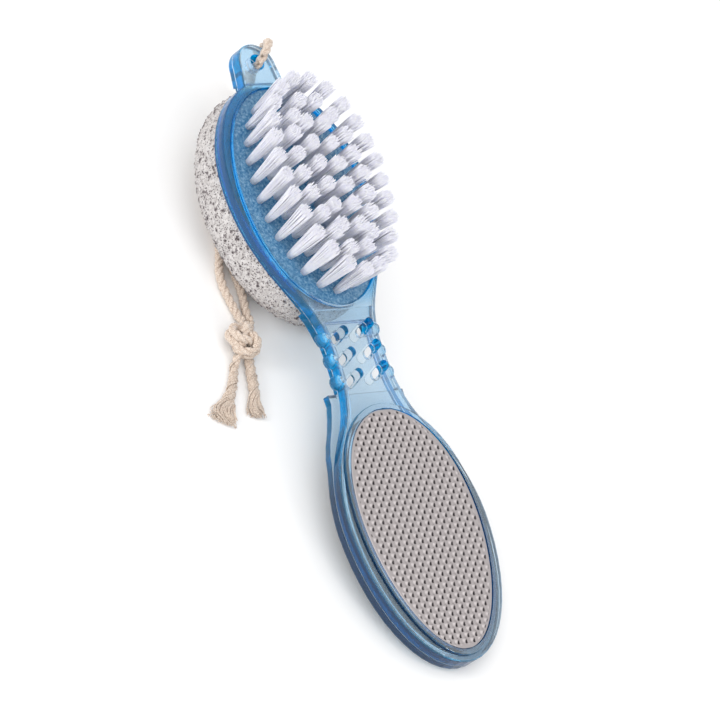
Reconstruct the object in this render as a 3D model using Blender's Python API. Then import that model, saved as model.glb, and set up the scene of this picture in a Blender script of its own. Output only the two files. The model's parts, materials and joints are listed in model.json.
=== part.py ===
"""Four-sided pedicure scrubber: a two-part clear blue paddle with a brush, a pumice stone,
a steel file and an emery pad, and a knotted hanging cord.

The paddle is drawn flat: X runs across it, Y runs from the file end to the hanging lug, and Z is
its front, where the bristles and the steel file are. The face of the grip is at Z = 0. At the end
the whole paddle is turned into the pose in which it lies on a table, and the cord is laid there.
Lengths are in metres.
"""

import math

import bmesh
import bpy
from mathutils import Matrix, Vector

# Paddle outline
GRIP_HALF_WIDTH = 0.0112
GRIP_Y = -0.0010
BRUSH_HALF_WIDTH = 0.0300
BRUSH_Y = 0.0580
BRUSH_TOP_Y = 0.0970
FILE_HALF_WIDTH = 0.0302
FILE_Y = -0.0630
FILE_TIP_Y = -0.1125
# How the outline widens from the grip to each head: share of the way along, share of the widening
BRUSH_NECK_SHARES = [(0.0, 0.0), (0.09, 0.02), (0.22, 0.13), (0.37, 0.375), (0.52, 0.64),
                     (0.70, 0.865), (0.85, 0.965), (1.0, 1.0)]
FILE_NECK_SHARES = [(0.0, 0.0), (0.16, 0.02), (0.29, 0.095), (0.41, 0.255), (0.55, 0.56),
                    (0.68, 0.785), (0.83, 0.935), (1.0, 1.0)]

# Shells
SEAM_DEPTH = 0.0036
BODY_DEPTH = 0.0072
BRUSH_DEPTH = 0.0048
BRUSH_STEP_Y = 0.0142
GRIP_DEPTH = 0.0056
SIDE_WALL = 0.0026
EDGE_ROUND = 0.0009
FRONT_HOLLOW = 0.0016
BACK_HOLLOW = 0.0010
HOLLOW_END_GAP = 0.0050
GRIP_RECESS_TOP_Y = 0.0045
GRIP_RECESS_END_Y = -0.0155
CLEARANCE = 0.0003
CUT_OVERRUN = 0.0020

# Hanging lug
LUG_RADIUS = 0.0080
LUG_RISE = 0.0056
LUG_NECK_FLARE = 0.0020
LUG_NECK_DROP = 0.0120
LUG_HOLE_RADIUS = 0.0029
LUG_HOLE_RISE = 0.0010
LUG_BACK_DEPTH = 0.0064
LUG_Y = BRUSH_TOP_Y + LUG_RISE
LUG_HOLE_Y = LUG_Y + LUG_HOLE_RISE

# Grip slots and side nubs
SLOT_WIDTH = 0.0034
SLOT_MIDDLE_WALL = 0.0032
SLOT_SIDE_WALL = 0.0007
SLOT_SLOPE = math.radians(33.0)
SLOT_PITCH = 0.0077
SLOT_ROWS = 3
SLOT_HALF_SPAN = (GRIP_HALF_WIDTH - SLOT_MIDDLE_WALL / 2 - SLOT_SIDE_WALL) / 2
SLOT_CENTRE_X = SLOT_MIDDLE_WALL / 2 + SLOT_HALF_SPAN
SLOT_LENGTH = 2 * (SLOT_HALF_SPAN - SLOT_WIDTH / 2) / math.cos(SLOT_SLOPE) + SLOT_WIDTH
SLOT_STAGGER = 0.0010
SLOT_MIDDLE_Y = -0.0030
NUB_RADIUS = 0.0024
NUB_PROUD = 0.0021
NUB_STRETCH_SHARE = 1.15

# Brush bed and its plate
BED_SIDE_RIM = 0.0032
BED_TOP_RIM = 0.0030
BED_GRIP_END_Y = 0.0140
BED_DEPTH = 0.0026
BED_HALF_WIDTH = BRUSH_HALF_WIDTH - BED_SIDE_RIM
BED_HALF_LENGTH = (BRUSH_TOP_Y - BED_TOP_RIM - BED_GRIP_END_Y) / 2
BED_Y = BED_GRIP_END_Y + BED_HALF_LENGTH
PLATE_THICKNESS = 0.0020
CHANNEL_DEPTH = 0.0012
LIP_WIDTH = 0.0008
LIP_HEIGHT = 0.0004

# Bristle tufts: two oval rings, each divided into arcs, round two straight columns
RING_SIDE_INSET = 0.0068
RING_END_INSET = 0.0054
RING_GAP_X = 0.0078
RING_GAP_Y = 0.0074
RING_EGG_SHARE = 0.05
OUTER_TUFTS = 25
OUTER_ARCS = 5
OUTER_START_SHARE = 0.6
INNER_TUFTS = 18
INNER_ARCS = 6
INNER_START_SHARE = 0.5
COLUMN_X_SHARE = 0.32786885
COLUMN_GAP_Y = 0.0090
COLUMN_TUFTS = 6
BRISTLE_HEIGHT = 0.0171
BRISTLES_PER_TUFT = 7
BRISTLE_ROOT_RADIUS = 0.00034
BRISTLE_TIP_RADIUS = 0.00042
TUFT_ROOT_RADIUS = 0.00095
TUFT_TIP_RADIUS = 0.00205
# How far the tips stand off their roots: everywhere, and more towards the sides and the ends
LEAN_X = 0.0012
LEAN_Y = 0.0010
FAN_X = 0.0007
FAN_Y = 0.0006
SKEW_Y = -0.0010
STRIP_WIDTH = 0.0032
STRIP_END = 0.0022
STRIP_STEPS = 16

OUTER_HALF_WIDTH = BED_HALF_WIDTH - RING_SIDE_INSET
OUTER_HALF_LENGTH = BED_HALF_LENGTH - RING_END_INSET
INNER_HALF_WIDTH = OUTER_HALF_WIDTH - RING_GAP_X
INNER_HALF_LENGTH = OUTER_HALF_LENGTH - RING_GAP_Y
COLUMN_X = INNER_HALF_WIDTH * COLUMN_X_SHARE
COLUMN_PITCH = 2 * (INNER_HALF_LENGTH - COLUMN_GAP_Y) / (COLUMN_TUFTS - 1)
TUFT_RINGS = [(OUTER_HALF_WIDTH, OUTER_HALF_LENGTH, OUTER_TUFTS, OUTER_ARCS, OUTER_START_SHARE),
              (INNER_HALF_WIDTH, INNER_HALF_LENGTH, INNER_TUFTS, INNER_ARCS, INNER_START_SHARE)]

# Pumice stone
STONE_SIDE_RIM = 0.0020
STONE_TOP_RIM = 0.0016
STONE_GRIP_END_Y = 0.0155
STONE_HALF_WIDTH = BRUSH_HALF_WIDTH - STONE_SIDE_RIM
STONE_HALF_LENGTH = (BRUSH_TOP_Y - STONE_TOP_RIM - STONE_GRIP_END_Y) / 2
STONE_Y = STONE_GRIP_END_Y + STONE_HALF_LENGTH
STONE_DEPTH = 0.0211
STONE_SQUARENESS = 4.2
STONE_SLOPE_SHARE = 0.036
STONE_SWELL_SHARE = 0.058

# Steel file, its adhesive and the ring round it
RING_WIDTH = 0.0019
RING_HEIGHT = 0.0014
RING_ROUND = 0.0004
RING_SIDE_SHOULDER = 0.0030
RING_TIP_SHOULDER = 0.0018
FILE_PLATE_GRIP_END_Y = -0.0239
FILE_EGG_SHARE = 0.11
FILE_PLATE_THICKNESS = 0.0009
FILE_PLATE_ROUND = 0.0003
ADHESIVE_THICKNESS = 0.0005
FILE_POCKET_DEPTH = 0.0007
ADHESIVE_INSET = 0.0008
FILE_PLATE_TIP_Y = FILE_TIP_Y + RING_TIP_SHOULDER + RING_WIDTH + CLEARANCE
FILE_PLATE_HALF_WIDTH = FILE_HALF_WIDTH - RING_SIDE_SHOULDER - RING_WIDTH - CLEARANCE
FILE_PLATE_HALF_LENGTH = (FILE_PLATE_GRIP_END_Y - FILE_PLATE_TIP_Y) / 2
FILE_PLATE_Y = FILE_PLATE_TIP_Y + FILE_PLATE_HALF_LENGTH

# Tub on the back of the file head, wider than the neck in front of it
TUB_FLARE = 0.0036
TUB_FLARE_Y = -0.0220
TUB_FLARE_REACH = 0.0200

# Emery sheet and the foam pad under it
EMERY_SIDE_RIM = 0.0046
EMERY_TIP_RIM = 0.0045
EMERY_GRIP_END_Y = -0.0240
EMERY_THICKNESS = 0.0004
FOAM_THICKNESS = 0.0008
EMERY_POCKET_DEPTH = 0.0016
EMERY_HALF_WIDTH = FILE_HALF_WIDTH - EMERY_SIDE_RIM
EMERY_HALF_LENGTH = (EMERY_GRIP_END_Y - FILE_TIP_Y - EMERY_TIP_RIM) / 2
EMERY_Y = EMERY_GRIP_END_Y - EMERY_HALF_LENGTH

# Resting pose: the roll onto the cord side, which leaves room for the cord below the stone
ROLL = math.radians(6.0)
POSE_RINGS = 40
POSE_TURNS = 72
POSE_STEPS = 40
STEEPEST_PITCH = math.radians(30.0)

# Cord, laid on the table: its loop runs from the knot up to the lug and back, by hand-chosen points
CORD_RADIUS = 0.0015
CORD_STEP = 0.0040
CORD_LIFT = 0.0001
CORD_ROUTE = [
    (-0.0248, 0.0237, 0.0026), (-0.0249, 0.0276, 0.0016), (-0.0252, 0.0315, 0.0015),
    (-0.0255, 0.0352, 0.0015), (-0.0254, 0.0394, 0.0015), (-0.0245, 0.0436, 0.0015),
    (-0.0227, 0.0477, 0.0015), (-0.0209, 0.0516, 0.0015), (-0.0196, 0.0556, 0.0015),
    (-0.0188, 0.0602, 0.0015), (-0.0180, 0.0660, 0.0015), (-0.0165, 0.0724, 0.0015),
    (-0.0137, 0.0789, 0.0015), (-0.0093, 0.0847, 0.0015), (-0.0041, 0.0895, 0.0015),
    (0.0010, 0.0940, 0.0015), (0.0046, 0.0980, 0.0015), (0.0061, 0.1009, 0.0024),
    (0.0071, 0.1030, 0.0048), (0.0075, 0.1039, 0.0080), (0.0071, 0.1046, 0.0125),
    (0.0058, 0.1049, 0.0170), (0.0040, 0.1049, 0.0210), (0.0022, 0.1043, 0.0242),
    (0.0008, 0.1036, 0.0268), (0.0003, 0.1030, 0.0289), (0.0004, 0.1027, 0.0309),
    (0.0012, 0.1032, 0.0339), (0.0027, 0.1048, 0.0361), (0.0047, 0.1070, 0.0369),
    (0.0067, 0.1092, 0.0361), (0.0082, 0.1108, 0.0339), (0.0088, 0.1114, 0.0309),
    (0.0090, 0.1119, 0.0275), (0.0093, 0.1123, 0.0235), (0.0101, 0.1125, 0.0183),
    (0.0114, 0.1123, 0.0130), (0.0127, 0.1117, 0.0080), (0.0135, 0.1108, 0.0048),
    (0.0139, 0.1085, 0.0024), (0.0135, 0.1052, 0.0015), (0.0118, 0.1006, 0.0015),
    (0.0088, 0.0960, 0.0015), (0.0042, 0.0912, 0.0015), (-0.0012, 0.0862, 0.0015),
    (-0.0063, 0.0811, 0.0015), (-0.0103, 0.0756, 0.0015), (-0.0131, 0.0694, 0.0015),
    (-0.0146, 0.0630, 0.0015), (-0.0157, 0.0565, 0.0015), (-0.0173, 0.0501, 0.0015),
    (-0.0186, 0.0444, 0.0015), (-0.0191, 0.0394, 0.0015), (-0.0194, 0.0354, 0.0015),
    (-0.0201, 0.0314, 0.0015), (-0.0211, 0.0273, 0.0016), (-0.0217, 0.0230, 0.0024)]
# Knot lobes: centre and half sizes
KNOT_LOBES = [((-0.0247, 0.0175, 0.0042), (0.0050, 0.0056, 0.0042)),
              ((-0.0322, 0.0147, 0.0040), (0.0050, 0.0056, 0.0040))]
KNOT_TURN = math.radians(10.0)
# Tail stations: x, y, half width and half height of the flattening, fraying cord
TAIL_LEFT = [(-0.0342, 0.0092, 0.0017, 0.0015), (-0.0358, 0.0060, 0.0016, 0.0015),
             (-0.0376, 0.0028, 0.0019, 0.0015), (-0.0397, -0.0003, 0.0020, 0.0015),
             (-0.0423, -0.0035, 0.0031, 0.0014), (-0.0455, -0.0077, 0.0049, 0.0012),
             (-0.0478, -0.0112, 0.0057, 0.0009)]
TAIL_RIGHT = [(-0.0279, 0.0102, 0.0018, 0.0015), (-0.0284, 0.0082, 0.0019, 0.0016),
              (-0.0292, 0.0052, 0.0021, 0.0016), (-0.0303, 0.0012, 0.0021, 0.0016),
              (-0.0315, -0.0028, 0.0022, 0.0015), (-0.0329, -0.0070, 0.0030, 0.0012),
              (-0.0341, -0.0110, 0.0037, 0.0009)]
TAIL_SIDES = 14
CORD_FINE_STEPS = 12

COLLECTION_NAME = "pedicure_scrubber"
OUTLINE_STEPS = 14
ROUND_STEPS = 24
WALK_STEPS = 240
WELD = 0.000001


def smooth_share(table, t):
    """Reads a table of (along, share) pairs at t with a cubic that is level at both ends."""
    slopes = [0.0]
    for i in range(1, len(table) - 1):
        slopes.append((table[i + 1][1] - table[i - 1][1]) / (table[i + 1][0] - table[i - 1][0]))
    slopes.append(0.0)
    for i in range(len(table) - 1):
        t0, s0 = table[i]
        t1, s1 = table[i + 1]
        if t <= t1:
            break
    run = t1 - t0
    u = min(max((t - t0) / run, 0.0), 1.0)
    low = (1 + 2 * u) * (1 - u) ** 2 * s0 + u * (1 - u) ** 2 * run * slopes[i]
    high = u * u * (3 - 2 * u) * s1 - u * u * (1 - u) * run * slopes[i + 1]
    return low + high


def half_width(y):
    """The paddle's half width at y, from the file tip to the top of the brush head."""
    if y >= BRUSH_Y:
        u = (y - BRUSH_Y) / (BRUSH_TOP_Y - BRUSH_Y)
        return BRUSH_HALF_WIDTH * math.sqrt(max(1 - u * u, 0.0))
    if y <= FILE_Y:
        u = (FILE_Y - y) / (FILE_Y - FILE_TIP_Y)
        return FILE_HALF_WIDTH * math.sqrt(max(1 - u * u, 0.0))
    if y >= GRIP_Y:
        share = smooth_share(BRUSH_NECK_SHARES, (y - GRIP_Y) / (BRUSH_Y - GRIP_Y))
        return GRIP_HALF_WIDTH + share * (BRUSH_HALF_WIDTH - GRIP_HALF_WIDTH)
    share = smooth_share(FILE_NECK_SHARES, (GRIP_Y - y) / (GRIP_Y - FILE_Y))
    return GRIP_HALF_WIDTH + share * (FILE_HALF_WIDTH - GRIP_HALF_WIDTH)


def right_side_heights():
    """The y places at which the outline's right side is drawn, from the file tip upwards."""
    heights = []
    for i in range(OUTLINE_STEPS):
        angle = math.pi / 2 * i / OUTLINE_STEPS
        heights.append(FILE_Y - (FILE_Y - FILE_TIP_Y) * math.cos(angle))
    for i in range(OUTLINE_STEPS):
        heights.append(FILE_Y + (GRIP_Y - FILE_Y) * i / OUTLINE_STEPS)
    for i in range(OUTLINE_STEPS):
        heights.append(GRIP_Y + (BRUSH_Y - GRIP_Y) * i / OUTLINE_STEPS)
    for i in range(OUTLINE_STEPS + 1):
        angle = math.pi / 2 * i / OUTLINE_STEPS
        heights.append(BRUSH_Y + (BRUSH_TOP_Y - BRUSH_Y) * math.sin(angle))
    return heights


def paddle_outline(inset=0.0, top_y=None):
    """The paddle's closed outline, moved inwards by inset and ended at top_y if given."""
    side = [Vector((half_width(y), y)) for y in right_side_heights()]
    moved = []
    for i, point in enumerate(side):
        before = side[i - 1] if i > 0 else Vector((-side[1].x, side[1].y))
        after = side[i + 1] if i < len(side) - 1 else Vector((-side[-2].x, side[-2].y))
        along = (after - before).normalized()
        moved.append(point + inset * Vector((-along.y, along.x)))
    if top_y is not None:
        kept = [point for point in moved if point.y < top_y]
        moved = kept + [Vector((kept[-1].x, top_y)), Vector((0.0, top_y))]
    moved[0].x = 0.0
    moved[-1].x = 0.0
    return moved + [Vector((-point.x, point.y)) for point in reversed(moved[1:-1])]


def tub_outline():
    """The file head's outline with the neck flared out, ended straight across towards the grip."""
    side = []
    for y in right_side_heights():
        if y < GRIP_RECESS_END_Y:
            flare = TUB_FLARE * (1 - ((y - TUB_FLARE_Y) / TUB_FLARE_REACH) ** 2)
            side.append(Vector((half_width(y) + max(flare, 0.0), y)))
    side.append(Vector((side[-1].x, GRIP_RECESS_END_Y)))
    side[0].x = 0.0
    return side + [Vector((-point.x, point.y)) for point in reversed(side[1:])]


def egg_outline(centre_y, half_length, half_wide, egg_share=0.0, steps=ROUND_STEPS):
    """An oval that is wider towards the grip by egg_share."""
    points = []
    for i in range(2 * steps):
        angle = math.pi * i / steps
        along = math.sin(angle)
        across = math.cos(angle) * (1 + egg_share * along)
        points.append(Vector((half_wide * across, centre_y + half_length * along)))
    return points


def slot_outline(centre, length, width, slope, steps=6):
    """A straight slot with round ends."""
    radius = width / 2
    reach = length / 2 - radius
    points = []
    for end in (1, -1):
        for i in range(steps + 1):
            angle = math.pi * (i / steps - 0.5)
            x = end * (reach + radius * math.cos(angle))
            y = end * radius * math.sin(angle)
            points.append(Vector((centre[0] + x * math.cos(slope) - y * math.sin(slope),
                                  centre[1] + x * math.sin(slope) + y * math.cos(slope))))
    return points


for old in list(bpy.data.objects):
    bpy.data.objects.remove(old, do_unlink=True)

parts = bpy.data.collections.new(COLLECTION_NAME)
bpy.context.scene.collection.children.link(parts)
cutters = bpy.data.collections.new("cutters")
bpy.context.scene.collection.children.link(cutters)

pose = bpy.data.objects.new("rest_pose", None)
parts.objects.link(pose)


def material(name, colour, roughness, metallic=0.0, transmission=0.0):
    made = bpy.data.materials.new(name)
    made.use_nodes = True
    shader = made.node_tree.nodes["Principled BSDF"]
    shader.inputs["Base Color"].default_value = (*colour, 1.0)
    shader.inputs["Roughness"].default_value = roughness
    shader.inputs["Metallic"].default_value = metallic
    shader.inputs["Transmission Weight"].default_value = transmission
    made.diffuse_color = (*colour, 1.0)
    return made


BLUE_PLASTIC = material("clear_blue_plastic", (0.16, 0.50, 0.85), 0.12, transmission=0.7)
NYLON = material("white_nylon", (0.92, 0.92, 0.95), 0.45)
PUMICE = material("pumice", (0.72, 0.69, 0.67), 0.95)
STEEL = material("stamped_steel", (0.62, 0.60, 0.59), 0.28, metallic=1.0)
ADHESIVE = material("adhesive_film", (0.80, 0.79, 0.74), 0.60)
EMERY = material("emery_grit", (0.05, 0.05, 0.055), 0.95)
FOAM = material("foam_pad", (0.10, 0.10, 0.11), 0.85)
CORD = material("twisted_cotton", (0.78, 0.68, 0.55), 0.90)


def add_object(name, mesh, look, in_pose=True):
    made = bpy.data.objects.new(name, mesh)
    parts.objects.link(made)
    mesh.materials.clear()
    mesh.materials.append(look)
    if in_pose:
        made.parent = pose
    return made


def add_cutter(name, mesh, in_pose=True):
    made = bpy.data.objects.new(name, mesh)
    cutters.objects.link(made)
    if in_pose:
        made.parent = pose
    made.hide_render = True
    made.display_type = "WIRE"
    return made


def boolean(target, cutter, operation="DIFFERENCE"):
    step = target.modifiers.new(cutter.name, "BOOLEAN")
    step.operation = operation
    step.solver = "EXACT"
    step.object = cutter


def curve_mesh(name, curve, matrix=None):
    """Turns a curve into a closed mesh and removes the curve."""
    guide = bpy.data.objects.new(name + "_curve", curve)
    bpy.context.scene.collection.objects.link(guide)
    graph = bpy.context.evaluated_depsgraph_get()
    mesh = bpy.data.meshes.new_from_object(guide.evaluated_get(graph))
    work = bmesh.new()
    work.from_mesh(mesh)
    bmesh.ops.remove_doubles(work, verts=work.verts, dist=WELD)
    bmesh.ops.recalc_face_normals(work, faces=work.faces)
    if matrix is not None:
        bmesh.ops.transform(work, matrix=matrix, verts=work.verts)
    work.to_mesh(mesh)
    work.free()
    bpy.data.objects.remove(guide, do_unlink=True)
    mesh.name = name
    return mesh


def flat_prism(name, outlines, low, high, edge_round=0.0, round_steps=2):
    """A solid between heights low and high with the given closed outlines."""
    curve = bpy.data.curves.new(name, "CURVE")
    curve.dimensions = "2D"
    curve.fill_mode = "BOTH"
    curve.extrude = (high - low) / 2 - edge_round
    curve.bevel_depth = edge_round
    curve.bevel_resolution = round_steps
    curve.offset = -edge_round
    for outline in outlines:
        spline = curve.splines.new("POLY")
        spline.points.add(len(outline) - 1)
        for point, place in zip(spline.points, outline):
            point.co = (place.x, place.y, 0.0, 1.0)
        spline.use_cyclic_u = True
    return curve_mesh(name, curve, Matrix.Translation((0.0, 0.0, (low + high) / 2)))


def box_mesh(name, low, high):
    work = bmesh.new()
    size = Vector(high) - Vector(low)
    middle = (Vector(high) + Vector(low)) / 2
    bmesh.ops.create_cube(work, size=1.0, matrix=Matrix.Translation(middle) @ Matrix.Diagonal((*size, 1.0)))
    mesh = bpy.data.meshes.new(name)
    work.to_mesh(mesh)
    work.free()
    return mesh


def smooth(item, angle=math.radians(35.0)):
    item.data.shade_smooth()
    item.data.set_sharp_from_angle(angle=angle)


# Lug outline
def lug_outline():
    """A round-topped tab that runs down into the brush head."""
    points = []
    for i in range(ROUND_STEPS + 1):
        angle = math.pi * i / ROUND_STEPS
        points.append(Vector((LUG_RADIUS * math.cos(angle), LUG_Y + LUG_RADIUS * math.sin(angle))))
    points.append(Vector((-LUG_RADIUS - LUG_NECK_FLARE, LUG_Y - LUG_NECK_DROP)))
    points.append(Vector((LUG_RADIUS + LUG_NECK_FLARE, LUG_Y - LUG_NECK_DROP)))
    return points


def slot_outlines():
    outlines = []
    for row in range(SLOT_ROWS):
        y = SLOT_MIDDLE_Y + (row - (SLOT_ROWS - 1) / 2) * SLOT_PITCH
        for side in (1, -1):
            centre = (side * SLOT_CENTRE_X, y + side * SLOT_STAGGER)
            outlines.append(slot_outline(centre, SLOT_LENGTH, SLOT_WIDTH, SLOT_SLOPE))
    return outlines


def nub_mesh(name, low, high):
    """Rounded grip nubs down both edges of the grip, cut to one shell's height."""
    work = bmesh.new()
    for row in range(SLOT_ROWS):
        y = SLOT_MIDDLE_Y + (row - (SLOT_ROWS - 1) / 2) * SLOT_PITCH
        for side in (1, -1):
            nub_y = y + side * SLOT_STAGGER
            x = side * (half_width(nub_y) + NUB_PROUD - NUB_RADIUS)
            place = Matrix.Translation((x, nub_y, (low + high) / 2))
            stretch = Matrix.Diagonal((1.0, NUB_STRETCH_SHARE, (high - low) / 2 / NUB_RADIUS, 1.0))
            bmesh.ops.create_uvsphere(work, u_segments=14, v_segments=8, radius=NUB_RADIUS,
                                      matrix=place @ stretch)
    mesh = bpy.data.meshes.new(name)
    work.to_mesh(mesh)
    work.free()
    return mesh


through_slots = add_cutter("slot_cutter", flat_prism(
    "slot_cutter", slot_outlines(), -BODY_DEPTH - CUT_OVERRUN, CUT_OVERRUN))
lug_hole = add_cutter("lug_hole_cutter", flat_prism(
    "lug_hole_cutter", [egg_outline(LUG_HOLE_Y, LUG_HOLE_RADIUS, LUG_HOLE_RADIUS, steps=10)],
    -BODY_DEPTH - CUT_OVERRUN, CUT_OVERRUN))


# Front shell
def front_shell():
    shell = add_object("front_shell", flat_prism(
        "front_shell", [paddle_outline()], -2 * SEAM_DEPTH, 0.0, EDGE_ROUND), BLUE_PLASTIC)
    lug = add_cutter("front_lug_block", flat_prism(
        "front_lug_block", [lug_outline()], -2 * SEAM_DEPTH, 0.0, EDGE_ROUND))
    ring = add_cutter("ring_block", flat_prism(
        "ring_block", [egg_outline(FILE_PLATE_Y, FILE_PLATE_HALF_LENGTH + CLEARANCE + RING_WIDTH,
                                   FILE_PLATE_HALF_WIDTH + CLEARANCE + RING_WIDTH, FILE_EGG_SHARE)],
        -RING_HEIGHT, RING_HEIGHT, RING_ROUND))
    bed_lip = add_cutter("bed_lip_block", flat_prism(
        "bed_lip_block", [egg_outline(BED_Y, BED_HALF_LENGTH + LIP_WIDTH, BED_HALF_WIDTH + LIP_WIDTH)],
        -LIP_HEIGHT, LIP_HEIGHT))
    nubs = add_cutter("front_nub_block", nub_mesh("front_nub_block", -2 * SEAM_DEPTH, 0.0))
    for block in (lug, ring, bed_lip, nubs):
        boolean(shell, block, "UNION")
    reach = max(FILE_HALF_WIDTH, BRUSH_HALF_WIDTH) + CUT_OVERRUN
    below = add_cutter("below_seam_cutter", box_mesh(
        "below_seam_cutter", (-reach, FILE_TIP_Y - CUT_OVERRUN, -2 * SEAM_DEPTH - CUT_OVERRUN),
        (reach, LUG_Y + LUG_RADIUS + CUT_OVERRUN, -SEAM_DEPTH)))
    bed = add_cutter("bed_cutter", flat_prism(
        "bed_cutter", [egg_outline(BED_Y, BED_HALF_LENGTH, BED_HALF_WIDTH)],
        -BED_DEPTH, CUT_OVERRUN))
    pocket = add_cutter("file_pocket_cutter", flat_prism(
        "file_pocket_cutter", [egg_outline(FILE_PLATE_Y, FILE_PLATE_HALF_LENGTH + CLEARANCE,
                                           FILE_PLATE_HALF_WIDTH + CLEARANCE, FILE_EGG_SHARE)],
        -FILE_POCKET_DEPTH, RING_HEIGHT + CUT_OVERRUN))
    hollow = add_cutter("front_hollow_cutter", flat_prism(
        "front_hollow_cutter", [paddle_outline(SIDE_WALL, BED_Y - BED_HALF_LENGTH - HOLLOW_END_GAP)],
        -SEAM_DEPTH - CUT_OVERRUN, -SEAM_DEPTH + FRONT_HOLLOW))
    for cutter in (below, bed, pocket, hollow, through_slots, lug_hole):
        boolean(shell, cutter)
    smooth(shell)
    return shell


# Back shell
def back_shell():
    top = -SEAM_DEPTH - CLEARANCE
    shell = add_object("back_shell", flat_prism(
        "back_shell", [paddle_outline()], -BODY_DEPTH, BODY_DEPTH + 2 * top, EDGE_ROUND), BLUE_PLASTIC)
    lug = add_cutter("back_lug_block", flat_prism(
        "back_lug_block", [lug_outline()], -LUG_BACK_DEPTH, LUG_BACK_DEPTH + 2 * top, EDGE_ROUND))
    tub = add_cutter("tub_block", flat_prism(
        "tub_block", [tub_outline()], -BODY_DEPTH, BODY_DEPTH + 2 * top, EDGE_ROUND))
    nubs = add_cutter("back_nub_block", nub_mesh("back_nub_block", -GRIP_DEPTH, GRIP_DEPTH + 2 * top))
    for block in (tub, lug, nubs):
        boolean(shell, block, "UNION")
    reach = max(FILE_HALF_WIDTH, BRUSH_HALF_WIDTH) + CUT_OVERRUN
    above = add_cutter("above_seam_cutter", box_mesh(
        "above_seam_cutter", (-reach, FILE_TIP_Y - CUT_OVERRUN, top),
        (reach, LUG_Y + LUG_RADIUS + CUT_OVERRUN, BODY_DEPTH + CUT_OVERRUN)))
    grip = add_cutter("grip_recess_cutter", box_mesh(
        "grip_recess_cutter", (-reach, GRIP_RECESS_END_Y, -BODY_DEPTH - CUT_OVERRUN),
        (reach, GRIP_RECESS_TOP_Y, -GRIP_DEPTH)))
    platform = add_cutter("stone_platform_cutter", box_mesh(
        "stone_platform_cutter", (-reach, BRUSH_STEP_Y, -BODY_DEPTH - CUT_OVERRUN),
        (reach, BRUSH_TOP_Y, -BRUSH_DEPTH)))
    pocket = add_cutter("emery_pocket_cutter", flat_prism(
        "emery_pocket_cutter", [egg_outline(EMERY_Y, EMERY_HALF_LENGTH + CLEARANCE,
                                            EMERY_HALF_WIDTH + CLEARANCE, FILE_EGG_SHARE)],
        -BODY_DEPTH - CUT_OVERRUN, -BODY_DEPTH + EMERY_POCKET_DEPTH))
    hollow = add_cutter("back_hollow_cutter", flat_prism(
        "back_hollow_cutter", [paddle_outline(SIDE_WALL, BED_Y - BED_HALF_LENGTH - HOLLOW_END_GAP)],
        top - BACK_HOLLOW, top + CUT_OVERRUN))
    for cutter in (above, grip, platform, pocket, hollow, through_slots, lug_hole):
        boolean(shell, cutter)
    smooth(shell)
    return shell


# Brush plate and bristle arcs
def walk_to(places, walked, length):
    """The place at a walked length along a line of places, and the direction to its left there."""
    wanted = length % walked[-1]
    index = 0
    while walked[index + 1] < wanted:
        index += 1
    share = (wanted - walked[index]) / (walked[index + 1] - walked[index])
    along = (places[index + 1] - places[index]).normalized()
    return places[index].lerp(places[index + 1], share), Vector((-along.y, along.x))


def tuft_arcs():
    """For each arc: the line it follows, the length walked to each place of it and to each tuft."""
    arcs = []
    for half_wide, half_length, tufts, count, start_share in TUFT_RINGS:
        places = []
        for i in range(WALK_STEPS + 1):
            angle = 2 * math.pi * i / WALK_STEPS
            across = half_wide * (1 + RING_EGG_SHARE * math.cos(angle))
            places.append(Vector((across * math.sin(angle), BED_Y + half_length * math.cos(angle))))
        walked = [0.0]
        for before, after in zip(places, places[1:]):
            walked.append(walked[-1] + (after - before).length)
        spacing = walked[-1] / tufts
        for arc in range(count):
            numbers = range(arc * tufts // count, (arc + 1) * tufts // count)
            arcs.append((places, walked, [spacing * (number + start_share) for number in numbers]))
    reach = COLUMN_PITCH * (COLUMN_TUFTS + 1) / 2
    for side in (-1, 1):
        places = [Vector((side * COLUMN_X, BED_Y + end)) for end in (-reach, reach)]
        stops = [COLUMN_PITCH * (number + 1) for number in range(COLUMN_TUFTS)]
        arcs.append((places, [0.0, 2 * reach], stops))
    return arcs


def strip_outline(places, walked, stops, gap=0.0):
    """The band under an arc's tufts, widened all round by gap."""
    left, right = [], []
    start = stops[0] - STRIP_END - gap
    stretch = stops[-1] + STRIP_END + gap - start
    for i in range(STRIP_STEPS + 1):
        place, leftwards = walk_to(places, walked, start + stretch * i / STRIP_STEPS)
        left.append(place + (STRIP_WIDTH / 2 + gap) * leftwards)
        right.append(place - (STRIP_WIDTH / 2 + gap) * leftwards)
    return right + left[::-1]


def bristle(work, root, tip, turn):
    """One three-sided bristle from root to tip, sunk a little into the strip below it."""
    rings = []
    for centre, radius in ((root, BRISTLE_ROOT_RADIUS), (tip, BRISTLE_TIP_RADIUS)):
        ring = []
        for corner in range(3):
            angle = turn + 2 * math.pi * corner / 3
            ring.append(work.verts.new(centre + Vector((radius * math.cos(angle),
                                                        radius * math.sin(angle), 0.0))))
        rings.append(ring)
    for corner in range(3):
        after = (corner + 1) % 3
        work.faces.new((rings[0][corner], rings[0][after], rings[1][after], rings[1][corner]))
    work.faces.new(list(reversed(rings[0])))
    work.faces.new(rings[1])


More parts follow.
